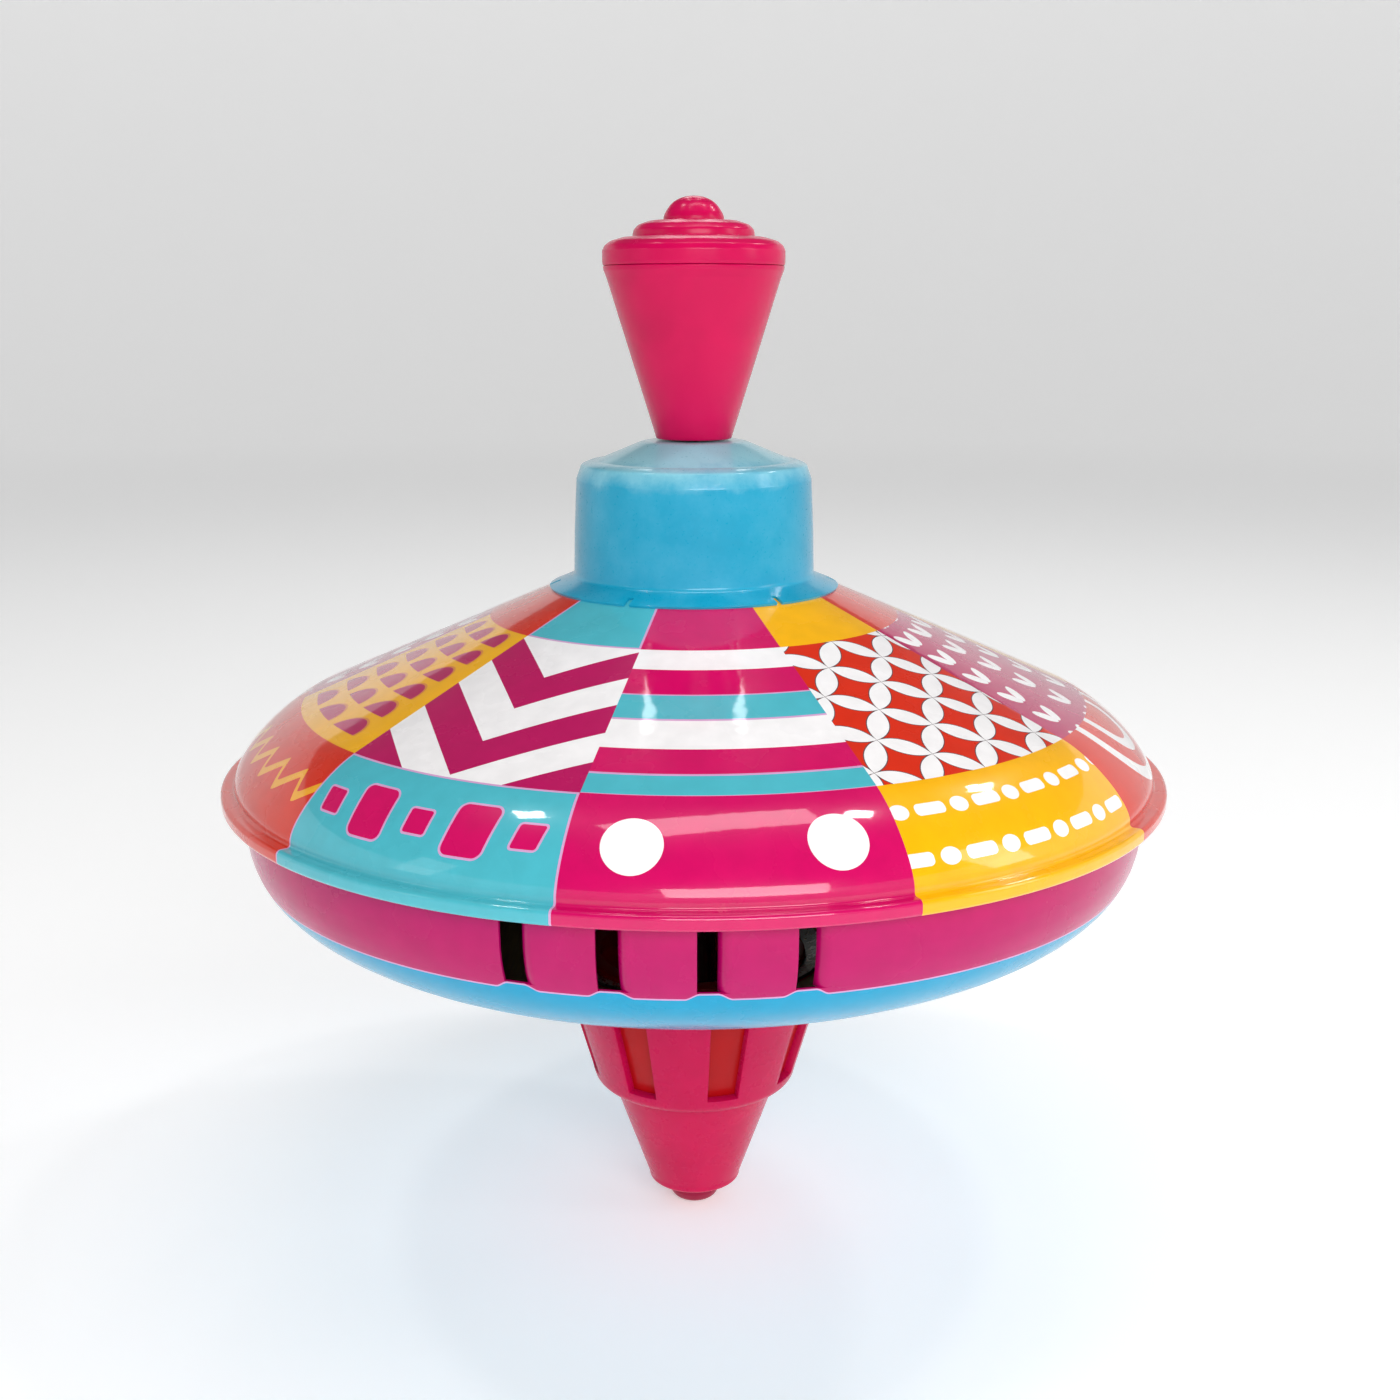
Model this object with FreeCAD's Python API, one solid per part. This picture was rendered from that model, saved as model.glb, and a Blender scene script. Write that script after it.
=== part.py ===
"""Pump-action humming top: tin shells, neck, moulded knob and foot, twisted rod and clutch.

Millimetres. Z is the spin axis, Z = 0 is the floor under the tip. -Y is the front.
"""
import FreeCAD, Part
import os
import math

V = FreeCAD.Vector

# ---- overall sizes
rim_d = 190.0
tin = 0.5
stroke = 100.0
rod_lead = 50.0

# ---- upper shell, a cone that rolls over into a short wall
dome_slope = math.tan(math.radians(23.6))
dome_ref_r = 24.0
dome_ref_z = 137.7
dome_roll = 13.45
dome_drop = 7.86
dome_weight = 0.5
dome_hole_r = 16.0

# ---- rolled bead
bead_reach = 2.7
bead_step = 0.9
bead_h = 2.8
bead_round = 0.9
lap_gap = 0.05

# ---- lower shell, a wall that rolls in to a shallow cone
bowl_inset = 4.4
bowl_wall_drop = 3.9
bowl_roll = 30.0
bowl_slope = math.tan(math.radians(16.4))
bowl_depth = 26.0
bowl_weight = 1.212
bowl_hole_r = 22.0

# ---- louvres
louvre_groups = 2
louvres_per_group = 4
louvre_pitch = 10.27
louvre_centre = -3.1
louvre_width = 5.6
louvre_drop = 12.5
louvre_h = 11.2
louvre_curl_r = 2.2
louvre_curl_deg = 80.0

# ---- neck
neck_top = 164.8
neck_flat_r = 10.0
neck_groove_r = 19.4
neck_groove_drop = 3.9
neck_shoulder_r = 22.5
neck_shoulder_drop = 4.7
neck_r = 23.5
neck_foot_r = 24.2
neck_flange_r = 29.15
flange_notch_w = 1.2
flange_notch_depth = 2.2
flange_parts = 6
flange_turn = 4.0
tab_w = 7.0
tab_r = 26.6
tab_gap = 0.3
tab_reach = 3.0

# ---- knob
knob_gap = 0.3
knob_bottom_r = 7.47
knob_cone_h = 31.0
knob_cone_r = 17.05
knob_band_r = 17.85
knob_wall = 1.7
boss_r = 6.2

# ---- twisted rod and its fittings
rod_w = 6.0
rod_t = 1.6
rod_bottom = 20.0
rod_in_knob = 28.0
rod_gap = 0.35
stop_h = 5.0
pin_r = 1.0
pin_up = 21.0

# ---- tube
tube_in_r = 4.0
tube_wall = 0.45
tube_bottom = 11.0
tube_top = 136.0

# ---- clutch
lift = 1.2
dogs = 8
dog_deg = 16.0
seat_dog_deg = 18.0
dog_in_r = 9.5
dog_out_r = 13.5
seat_r = 21.0
seat_top = 146.0
spigot_gap = 0.3
seat_dog_h = 1.1
dog_lifted_gap = 0.5
nut_dog_h = 1.4
nut_disc_t = 2.0
nut_r = 14.0
nut_hub_r = 6.0
thrust_gap = 0.3
washer_t = 0.8
slot_gap = 0.55

# ---- bush in the neck roof
bush_r = 5.2
bush_flange_r = 8.0
bush_flange_t = 1.5
bush_h = 4.8

# ---- foot
collar_top_r = 29.05
collar_low_r = 21.98
collar_low_z = 32.75
cone_top_r = 17.75
cone_top_z = 28.9
cone_low_r = 9.92
cone_low_z = 6.84
foot_base_z = 5.3
foot_base_r = 9.3
slots = 8
slot_deg = 17.0
slot_turn = 15.5
rib_depth = 1.8
core_wall = 1.5
core_floor_z = 31.0
tip_r = 5.8
tip_flat_r = 1.6
tip_stem_r = 2.5
ring_out_r = 28.0
ring_t = 0.8


# ---------------------------------------------------------------- helpers
def dome_z(r):
    """Height of the dome's outer cone at radius r."""
    return dome_ref_z - (r - dome_ref_r) * dome_slope


# ---- heights and radii that follow from the rim and the cone
wall_r = rim_d / 2 - bead_reach
dome_knee_r = wall_r - dome_roll
wall_z = dome_z(wall_r) - dome_drop
bead_top = wall_z - bead_step
bead_bottom = bead_top - bead_h
bowl_r = rim_d / 2 - bowl_inset
bowl_wall_z = bead_bottom - bowl_wall_drop
bowl_knee_r = bowl_r - bowl_roll
bowl_knee_z = bowl_wall_z - bowl_depth
louvre_bottom = bead_bottom - louvre_drop
louvre_top = louvre_bottom + louvre_h
bush_bottom = neck_top - bush_h


def bowl_z(r):
    """Height of the bowl's outer cone at radius r."""
    return bowl_knee_z - (bowl_knee_r - r) * bowl_slope


def point(p):
    return V(p[0], 0, p[1])


def unit(a, b):
    d = V(b[0] - a[0], b[1] - a[1], 0)
    return (d.x / d.Length, d.y / d.Length)


def corner(prev, here, nxt):
    """(start, control, end, weight) that rounds one corner, or None when it is sharp."""
    if len(here) == 2:
        return None
    a = unit(prev, here)
    b = unit(here, nxt)
    if len(here) == 3:
        turn = math.acos(max(-1.0, min(1.0, a[0] * b[0] + a[1] * b[1])))
        back = here[2] * math.tan(turn / 2)
        ahead = back
        weight = math.cos(turn / 2)
    else:
        back, ahead, weight = here[2:]
    start = (here[0] - a[0] * back, here[1] - a[1] * back)
    end = (here[0] + b[0] * ahead, here[1] + b[1] * ahead)
    return start, (here[0], here[1]), end, weight


def path(points, closed):
    """Pieces of a path: ("line", a, b) and ("curve", a, c, b, weight)."""
    n = len(points)
    pieces = []
    bends = []
    for i in range(n):
        inner = closed or 0 < i < n - 1
        bends.append(corner(points[i - 1], points[i], points[(i + 1) % n]) if inner else None)
    last = n if closed else n - 1
    for i in range(last):
        j = (i + 1) % n
        a = bends[i][2] if bends[i] else points[i][:2]
        b = bends[j][0] if bends[j] else points[j][:2]
        if math.dist(a, b) > 1e-6:
            pieces.append(("line", a, b))
        if bends[j] and (closed or j < last):
            pieces.append(("curve",) + bends[j])
    return pieces


def edge(piece):
    if piece[0] == "line":
        return Part.makeLine(point(piece[1]), point(piece[2]))
    curve = Part.BezierCurve()
    curve.setPoles([point(p) for p in piece[1:4]])
    curve.setWeight(2, piece[4])
    return curve.toShape()


def face_of(points):
    """Filled profile in the XZ plane. A point is (r, z) or (r, z, corner radius)."""
    return Part.Face(Part.Wire([edge(p) for p in path(points, True)]))


def offset_path(points, t):
    """The path moved t to its left, its bends keeping their tangent points and weights."""
    lines = []
    for a, b in zip(points, points[1:]):
        d = unit(a, b)
        n = (-d[1] * t, d[0] * t)
        lines.append(((a[0] + n[0], a[1] + n[1]), (b[0] + n[0], b[1] + n[1]), d))
    out = [lines[0][0]]
    for i in range(1, len(points) - 1):
        p, d1 = lines[i - 1][1], lines[i - 1][2]
        q, d2 = lines[i][0], lines[i][2]
        cross = d1[0] * d2[1] - d1[1] * d2[0]
        along = ((q[0] - p[0]) * d2[1] - (q[1] - p[1]) * d2[0]) / cross
        meet = (p[0] + d1[0] * along, p[1] + d1[1] * along)
        bend = corner(points[i - 1], points[i], points[i + 1])
        if bend is None:
            out.append(meet)
            continue
        n1 = (-d1[1] * t, d1[0] * t)
        n2 = (-d2[1] * t, d2[0] * t)
        start = (bend[0][0] + n1[0], bend[0][1] + n1[1])
        end = (bend[2][0] + n2[0], bend[2][1] + n2[1])
        out.append(meet + (math.dist(start, meet), math.dist(meet, end), bend[3]))
    out.append(lines[-1][1])
    return out


def reverse(points):
    """The same path walked the other way."""
    return [p if len(p) < 5 else (p[0], p[1], p[3], p[2], p[4]) for p in points[::-1]]


def sheet_face(points, t):
    """Sheet metal profile: the path thickened by t to its left."""
    there = path(points, False)
    back = path(reverse(offset_path(points, t)), False)
    caps = [("line", there[-1][-1 if there[-1][0] == "line" else 3], back[0][1])]
    caps.append(("line", back[-1][-1 if back[-1][0] == "line" else 3], there[0][1]))
    return Part.Face(Part.Wire([edge(p) for p in there + caps[:1] + back + caps[1:]]))


def turned(face):
    return face.revolve(V(0, 0, 0), V(0, 0, 1), 360)


def rotated(shape, deg):
    out = shape.copy()
    out.rotate(V(0, 0, 0), V(0, 0, 1), deg)
    return out


def tube_of(r_in, r_out, z0, z1):
    return turned(face_of([(r_in, z0), (r_out, z0), (r_out, z1), (r_in, z1)]))


def box(x0, x1, y0, y1, z0, z1):
    return Part.makeBox(x1 - x0, y1 - y0, z1 - z0, V(x0, y0, z0))


def front(azimuth):
    """Rotation that takes +X to an azimuth counted from the front towards +X."""
    return azimuth - 90.0


def twisted(width, thick, z0, z1):
    """Strip twisted about Z, right-handed, one turn per rod_lead."""
    steps = max(3, int(round((z1 - z0) / rod_lead * 24)) + 1)
    wires = []
    for i in range(steps):
        z = z0 + (z1 - z0) * i / (steps - 1)
        w, h = width / 2, thick / 2
        ring = Part.makePolygon([V(-w, -h, z), V(w, -h, z), V(w, h, z), V(-w, h, z), V(-w, -h, z)])
        ring.rotate(V(0, 0, 0), V(0, 0, 1), 360.0 * z / rod_lead)
        wires.append(ring)
    return Part.makeLoft(wires, True, False)


# ---------------------------------------------------------------- shells
def dome_points():
    knee = (dome_knee_r, dome_z(dome_knee_r))
    turn = (wall_r, dome_z(wall_r))
    back = math.dist(knee, turn)
    half = rim_d / 2
    return [
        (dome_hole_r, dome_z(dome_hole_r)),
        turn + (back, turn[1] - wall_z, dome_weight),
        (wall_r, bead_top, 0.6),
        (half, bead_top, bead_round),
        (half, bead_bottom, bead_round),
        (bowl_r + 2 * lap_gap, bead_bottom),
    ]


def build_upper_shell():
    # the path runs outward and down, so the sheet lies on its right: reversed path, left side
    shell = turned(sheet_face(dome_points(), -tin))
    for i in range(flange_parts):
        slot = box(tab_r - tab_gap, tab_r + tin + tab_gap, -tab_w / 2 - tab_gap,
                   tab_w / 2 + tab_gap, dome_z(tab_r) - 4, dome_z(tab_r) + 4)
        shell = shell.cut(rotated(slot, front(flange_turn + i * 360 / flange_parts)))
    return shell


def bowl_points():
    """Path of the bowl's outside, from the centre hole out and up to the lapped lip."""
    turn = (bowl_r, bowl_z(bowl_r))
    back = math.dist((bowl_knee_r, bowl_knee_z), turn)
    lip_r = rim_d / 2 - tin - lap_gap
    lip_top = bead_top - tin - lap_gap
    lip_low = bead_bottom + tin + bead_round / 2 + lap_gap
    return [
        (bowl_hole_r, bowl_z(bowl_hole_r)),
        turn + (back, bowl_wall_z - turn[1], bowl_weight),
        (bowl_r, lip_top - tin, 0.3),
        (lip_r - tin, lip_top - tin, 0.3),
        (lip_r - tin, lip_low),
    ]


def louvre_angles():
    first = louvre_centre - louvre_pitch * (louvres_per_group - 1) / 2
    out = []
    for g in range(louvre_groups):
        for i in range(louvres_per_group):
            out.append(first + i * louvre_pitch + g * 360.0 / louvre_groups)
    return out


def louvre_flap(shell, window):
    """Curl of tin hinged on the right edge of a louvre that faces +X."""
    half = louvre_width / 2
    edges = [f for f in shell.cut(window).Faces if abs(f.BoundBox.YMin - half) < 1e-4
             and f.BoundBox.YLength < 1e-4 and f.BoundBox.XMin > 0]
    edges.sort(key=lambda f: f.Area)
    top_r = bowl_r - tin
    bottom_r = top_r - 1.7
    p = V(bottom_r - louvre_curl_r, half, louvre_bottom)
    q = V(top_r - louvre_curl_r, half, louvre_top)
    return edges[-1].revolve(p, q.sub(p).normalize(), -louvre_curl_deg)


def build_lower_shell():
    shell = turned(sheet_face(bowl_points(), tin))
    half = louvre_width / 2
    window = box(bowl_r - 20, rim_d / 2, -half, half, louvre_bottom, louvre_top)
    flap = louvre_flap(shell, window)
    opened = shell.cut([rotated(window, front(a)) for a in louvre_angles()])
    for a in louvre_angles():
        opened = opened.fuse(rotated(flap, front(a)))
    return opened


# ---------------------------------------------------------------- neck
def build_neck_cap():
    out = tin / math.cos(math.atan(dome_slope))
    lie = out
    points = [
        (bush_r, neck_top),
        (neck_flat_r, neck_top, 6.0),
        (neck_groove_r, neck_top - neck_groove_drop, 0.8),
        (neck_shoulder_r - 1.6, neck_top - neck_groove_drop - 0.15),
        (neck_shoulder_r, neck_top - neck_shoulder_drop, 1.0),
        (neck_r, neck_top - neck_shoulder_drop - 2.8, 1.2),
        (neck_foot_r, dome_z(neck_foot_r) + lie, 1.1),
        (neck_flange_r, dome_z(neck_flange_r) + lie),
    ]
    cap = turned(sheet_face(points, -tin))
    notch = box(neck_flange_r - flange_notch_depth, neck_flange_r + 2, -flange_notch_w / 2,
                flange_notch_w / 2, dome_z(neck_flange_r) - 3, dome_z(neck_flange_r) + 5)
    for i in range(flange_parts):
        cap = cap.cut(rotated(notch, front(flange_turn + (i + 0.5) * 360 / flange_parts)))
    low = dome_z(tab_r) - out - 0.2
    tab = sheet_face([
        (tab_r, dome_z(tab_r) + out * 0.6),
        (tab_r, low - tin - 0.1),
        (tab_r + tab_reach, low - tin - 0.1 - tab_reach * dome_slope),
    ], tin)
    solid = tab.extrude(V(0, tab_w, 0))
    solid.translate(V(0, -tab_w / 2, 0))
    for i in range(flange_parts):
        cap = cap.fuse(rotated(solid, front(flange_turn + i * 360 / flange_parts)))
    return cap


def build_neck_bush():
    roof = neck_top - tin
    flange = roof - bush_flange_t
    bore = rod_bore_r()
    return turned(face_of([
        (bore, bush_bottom), (bush_r, bush_bottom), (bush_r, flange - 0.4), (bush_flange_r, flange - 0.4),
        (bush_flange_r, roof), (bush_r, roof), (bush_r, neck_top), (bore, neck_top),
    ]))


def rod_bore_r():
    return math.hypot(rod_w / 2, rod_t / 2) + rod_gap


# ---------------------------------------------------------------- clutch
def dog_ring(deg, z0, z1, phase):
    """Ring of clutch dogs between two heights."""
    face = face_of([(dog_in_r, z0), (dog_out_r, z0), (dog_out_r, z1), (dog_in_r, z1)])
    one = face.revolve(V(0, 0, 0), V(0, 0, 1), deg)
    return [rotated(one, phase - deg / 2 + i * 360.0 / dogs) for i in range(dogs)]


def build_ratchet_seat():
    spigot = dome_hole_r - spigot_gap
    tube_r = tube_in_r + tube_wall
    boss = tube_r + 1.8
    body = turned(face_of([
        (rod_bore_r(), seat_top), (rod_bore_r(), tube_top), (tube_r, tube_top), (tube_r, tube_top - 10),
        (boss, tube_top - 10), (boss, seat_top - 2.2), (spigot - 1.8, seat_top - 2.2),
        (spigot - 1.8, tube_top - 1.0), (spigot, tube_top - 1.0), (spigot, dome_z(spigot)),
        (seat_r, dome_z(seat_r)), (seat_r, dome_z(seat_r) + 2.0, 0.5), (spigot + 1.0, dome_z(seat_r) + 3.6),
        (spigot, seat_top, 0.6),
    ]))
    return body.fuse(dog_ring(seat_dog_deg, seat_top - 0.2, seat_top + seat_dog_h, 22.5))


def nut_bottom():
    return seat_top + seat_dog_h + dog_lifted_gap + nut_dog_h


def nut_top():
    return bush_bottom - thrust_gap * 2 - washer_t


def build_drive_nut():
    z0 = nut_bottom()
    disc = turned(face_of([
        (0.01, z0), (nut_r, z0, 0.3), (nut_r, z0 + nut_disc_t, 0.3), (nut_hub_r, z0 + nut_disc_t, 0.8),
        (nut_hub_r, nut_top(), 0.4), (rod_bore_r(), nut_top()), (rod_bore_r(), z0 + nut_disc_t),
        (0.01, z0 + nut_disc_t),
    ]))
    core = Part.makeCylinder(1.0, nut_disc_t, V(0, 0, z0))
    body = disc.fuse(core)
    body = body.fuse(dog_ring(dog_deg, z0 - nut_dog_h, z0 + 0.2, 0.0))
    slot = twisted(rod_w + 2 * slot_gap, rod_t + 2 * slot_gap, z0 - 1, z0 + nut_disc_t + 1)
    return body.cut(slot)


def build_thrust_washer():
    top = bush_bottom - thrust_gap
    return tube_of(rod_bore_r(), nut_hub_r + 1.2, top - washer_t, top)


# ---------------------------------------------------------------- tube, rod and stop
def build_guide_tube():
    return tube_of(tube_in_r, tube_in_r + tube_wall, tube_bottom, tube_top)


def knob_z():
    return neck_top + knob_gap


def build_drive_rod():
    rod = twisted(rod_w, rod_t, rod_bottom, knob_z() + rod_in_knob)
    return rod.cut(pin_shape()).cut(stop_body())


def stop_body():
    r = tube_in_r - rod_gap
    z1 = rod_bottom + stop_h
    return turned(face_of([(0, rod_bottom), (r, rod_bottom, 0.5), (r, z1, 0.5), (0, z1)]))


def build_rod_stop():
    return stop_body()


def pin_shape():
    reach = boss_r - 0.6
    return Part.makeCylinder(pin_r, 2 * reach, V(-reach, 0, knob_z() + pin_up), V(1, 0, 0))


def build_rod_pin():
    return pin_shape()


# ---------------------------------------------------------------- knob
def build_knob_grip():
    z0 = knob_z()
    top = z0 + knob_cone_h
    rise = (knob_cone_r - knob_bottom_r) / knob_cone_h
    floor = z0 + 9.0
    bore = rod_bore_r() - rod_gap + 0.05
    grip = turned(face_of([
        (bore, z0), (knob_bottom_r, z0, 0.4), (knob_cone_r, top, 3.0), (knob_cone_r + 0.55, top + 1.4, 0.8),
        (knob_cone_r + 0.7, top + 2.3), (knob_cone_r - knob_wall + 0.5, top + 2.3),
        (knob_cone_r - knob_wall, top), (knob_bottom_r + rise * 9.0 - knob_wall, floor, 0.6),
        (boss_r, floor, 0.4), (boss_r, z0 + rod_in_knob + 0.5), (bore, z0 + rod_in_knob + 0.5),
    ]))
    return grip.cut(pin_shape())


def build_knob_cap():
    z0 = knob_z()
    part = z0 + knob_cone_h + 2.3
    up = z0 + knob_cone_h
    lip = knob_cone_r - knob_wall - lap_gap
    return turned(face_of([
        (0, up + 15.5), (1.75, up + 15.35), (3.4, up + 14.7), (4.55, up + 13.85), (5.2, up + 12.95),
        (5.62, up + 12.2), (5.9, up + 11.4, 0.3), (5.9, up + 10.9, 0.25), (8.6, up + 10.75, 1.5),
        (10.75, up + 10.05, 1.6), (11.7, up + 9.1, 1.2), (11.9, up + 8.1, 0.3), (11.9, up + 7.75, 0.3),
        (13.9, up + 7.65, 2.0), (16.3, up + 6.95, 2.0), (17.4, up + 6.1, 1.2), (knob_band_r, up + 5.1, 0.7),
        (knob_band_r, part + 0.7, 0.5), (knob_cone_r + 0.7, part), (lip, part), (lip, part - 2.2),
        (lip - 1.6, part - 2.2), (lip - 1.6, up + 4.6, 0.6), (10.0, up + 5.6, 0.8), (9.6, up + 8.2, 0.6),
        (0, up + 9.0),
    ]))


# ---------------------------------------------------------------- foot
def collar_line(z):
    k = (collar_top_r - collar_low_r) / (bowl_z(collar_top_r) - collar_low_z)
    return collar_low_r + (z - collar_low_z) * k


def build_foot_cage():
    tube_r = tube_in_r + tube_wall
    inner_top = collar_line(bowl_z(collar_top_r)) - rib_depth
    cage = turned(face_of([
        (tip_stem_r, foot_base_z), (foot_base_r + 0.4, foot_base_z, 1.0), (cone_low_r, cone_low_z, 2.0),
        (cone_top_r, cone_top_z, 0.5), (collar_low_r - 0.9, collar_low_z - 3.3, 2.6),
        (collar_low_r, collar_low_z, 3.0),
        (collar_top_r, bowl_z(collar_top_r)), (inner_top, bowl_z(inner_top)),
        (collar_line(core_floor_z) - rib_depth, core_floor_z), (tube_r + 8.2, core_floor_z),
        (tube_r + 2.2, 15.0, 1.0), (tube_r, 15.0), (tube_r, tube_bottom), (tip_stem_r, tube_bottom),
    ]))
    low = collar_low_z - 0.4
    slot = Part.makeCylinder(40, bowl_z(collar_top_r) - 2.0 - low, V(0, 0, low), V(0, 0, 1), slot_deg)
    slot = slot.cut(Part.makeCylinder(10, 100))
    return cage.cut([rotated(slot, front(slot_turn + i * 360 / slots) - slot_deg / 2) for i in range(slots)])


def ring_top(r):
    """Height of the retaining ring's upper face at radius r, inside the bowl."""
    return bowl_z(r) + (tin + ring_t) / math.cos(math.atan(bowl_slope))


def build_foot_core():
    tube_r = tube_in_r + tube_wall
    top_r = collar_top_r - rib_depth
    spigot = bowl_hole_r - spigot_gap
    lip_r = bowl_hole_r + 1.6
    return turned(face_of([
        (tube_r, core_floor_z), (collar_line(core_floor_z) - rib_depth, core_floor_z),
        (top_r, bowl_z(top_r)), (spigot, bowl_z(spigot)), (spigot, ring_top(spigot)),
        (lip_r, ring_top(lip_r)), (lip_r - 0.2, ring_top(lip_r) + 1.0),
        (spigot - core_wall, ring_top(lip_r) + 1.0),
        (spigot - core_wall, bowl_z(spigot) - 2.4), (top_r - core_wall - 0.6, bowl_z(spigot) - 2.4, 0.8),
        (collar_line(core_floor_z) - rib_depth - core_wall, core_floor_z + core_wall, 0.8),
        (tube_r, core_floor_z + core_wall),
    ]))


def build_foot_retainer():
    inside = tin / math.cos(math.atan(bowl_slope))
    a = (bowl_hole_r, bowl_z(bowl_hole_r) + inside)
    b = (ring_out_r, bowl_z(ring_out_r) + inside)
    return turned(sheet_face([a, b], ring_t))


def build_spinning_tip():
    return turned(face_of([
        (0, 0), (tip_flat_r, 0, 2.0), (4.6, 0.7, 2.4), (tip_r - 0.3, 2.6, 1.6), (tip_r, foot_base_z),
        (tip_stem_r, foot_base_z), (tip_stem_r, tube_bottom), (0, tube_bottom),
    ]))


# ---------------------------------------------------------------- all nodes
nodes = {
    "upper_shell": build_upper_shell,
    "lower_shell": build_lower_shell,
    "neck_cap": build_neck_cap,
    "neck_bush": build_neck_bush,
    "ratchet_seat": build_ratchet_seat,
    "drive_nut": build_drive_nut,
    "thrust_washer": build_thrust_washer,
    "guide_tube": build_guide_tube,
    "drive_rod": build_drive_rod,
    "rod_stop": build_rod_stop,
    "rod_pin": build_rod_pin,
    "knob_grip": build_knob_grip,
    "knob_cap": build_knob_cap,
    "foot_cage": build_foot_cage,
    "foot_core": build_foot_core,
    "foot_retainer": build_foot_retainer,
    "spinning_tip": build_spinning_tip,
}

os.makedirs("parts", exist_ok=True)
for name, build in nodes.items():
    shape = build()
    if len(shape.Solids) == 1:
        shape = shape.Solids[0]
    box_ = shape.BoundBox
    print(name, len(shape.Solids), "solid", "valid" if shape.isValid() else "BROKEN",
          "volume %.1f" % shape.Volume,
          "x %.2f..%.2f z %.2f..%.2f" % (box_.XMin, box_.XMax, box_.ZMin, box_.ZMax))
    shape.exportStep("parts/%s.step" % name)
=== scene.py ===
import itertools
import math

import bpy
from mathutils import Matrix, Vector


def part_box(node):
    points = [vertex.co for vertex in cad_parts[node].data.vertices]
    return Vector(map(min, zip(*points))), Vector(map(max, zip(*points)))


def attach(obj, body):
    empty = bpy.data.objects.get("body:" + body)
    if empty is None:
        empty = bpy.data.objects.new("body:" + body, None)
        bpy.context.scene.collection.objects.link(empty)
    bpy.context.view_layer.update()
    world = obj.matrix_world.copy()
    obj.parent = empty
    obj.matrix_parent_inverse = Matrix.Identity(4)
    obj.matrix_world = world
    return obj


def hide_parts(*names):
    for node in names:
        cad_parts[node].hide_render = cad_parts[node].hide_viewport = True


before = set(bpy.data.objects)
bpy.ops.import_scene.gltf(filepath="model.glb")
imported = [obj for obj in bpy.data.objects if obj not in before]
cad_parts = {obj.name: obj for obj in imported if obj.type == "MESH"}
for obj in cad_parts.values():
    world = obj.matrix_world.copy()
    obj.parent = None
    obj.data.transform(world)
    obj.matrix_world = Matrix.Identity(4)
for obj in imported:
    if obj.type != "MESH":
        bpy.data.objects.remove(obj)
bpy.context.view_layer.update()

# ------------------------------------------------------------------ printed dome
# The upper shell is one disc of tinplate. It was printed flat, varnished, drawn
# to a cone with a rolled shoulder, and its edge was rolled over into a bead.
# Sizes are in mm and degrees unless they say otherwise; MM turns them to the frame's metres.
MM = 0.001
TIN = 0.5
SECTORS = 10
SECTOR_DEG = 360 // SECTORS
FIRST_SECTOR = 4.4
CONE = math.radians(23.6)
SEAT_R, SEAT_Z = 24.0, 137.7
RIM_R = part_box("upper_shell")[1].x / MM
BEAD_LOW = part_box("upper_shell")[0].z / MM
BEAD_TOP = BEAD_LOW + 2.8
WALL_R = RIM_R - 2.7
WALL_Z = BEAD_TOP + 0.9
HOLE_R = 16.0
KNEE_R = 78.85
TOP_RING_R = 41.2
MATH = "ShaderNodeMath"
MIX = "ShaderNodeMix"


def dome_z(r):
    """Height of the cone's outside at radius r."""
    return SEAT_Z - (r - SEAT_R) * math.tan(CONE)


def bent_line(points, steps=7):
    """Line through (r, z) points. (r, z, radius) rounds a corner, (r, z, back, ahead, weight) is a conic."""
    line = []
    for i, p in enumerate(points):
        if len(p) == 2:
            line.append(p)
            continue
        before, after = points[i - 1][:2], points[i + 1][:2]
        la, lb = math.dist(before, p[:2]), math.dist(p[:2], after)
        a = ((p[0] - before[0]) / la, (p[1] - before[1]) / la)
        b = ((after[0] - p[0]) / lb, (after[1] - p[1]) / lb)
        if len(p) == 3:
            turn = math.acos(max(-1.0, min(1.0, a[0] * b[0] + a[1] * b[1])))
            back = ahead = p[2] * math.tan(turn / 2)
            weight = math.cos(turn / 2)
        else:
            back, ahead, weight = p[2:]
        ends = ((p[0] - a[0] * back, p[1] - a[1] * back), p, (p[0] + b[0] * ahead, p[1] + b[1] * ahead))
        for k in range(steps + 1):
            t = k / steps
            w = ((1 - t) ** 2, 2 * weight * t * (1 - t), t * t)
            line.append(tuple(sum(wi * q[j] for wi, q in zip(w, ends)) / sum(w) for j in (0, 1)))
    return line


def placed(name, spots, faces):
    """A mesh object at the origin."""
    mesh = bpy.data.meshes.new(name)
    mesh.from_pydata(spots, [], faces)
    piece = bpy.data.objects.new(name, mesh)
    bpy.context.scene.collection.objects.link(piece)
    return piece


def lathe(name, line, angles, skip=None):
    """Skin turned about Z, angles counted from the front. The line runs down a wall that faces outwards."""
    around = len(angles)
    full = angles[-1] - angles[0] > 350
    spots, rings = [], []
    for r, z in line:
        if r < 1e-4:
            rings.append([len(spots)] * around)
            spots.append((0.0, 0.0, z * MM))
            continue
        rings.append(range(len(spots), len(spots) + around))
        for a in angles:
            t = math.radians(a)
            spots.append((r * math.sin(t) * MM, -r * math.cos(t) * MM, z * MM))
    faces = []
    for i in range(len(line) - 1):
        for j in range(around if full else around - 1):
            if skip and skip(i, j):
                continue
            k = (j + 1) % around
            loop = list(dict.fromkeys([rings[i][j], rings[i + 1][j], rings[i + 1][k], rings[i][k]]))
            if len(loop) > 2:
                faces.append(loop)
    return placed(name, spots, faces)


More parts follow.
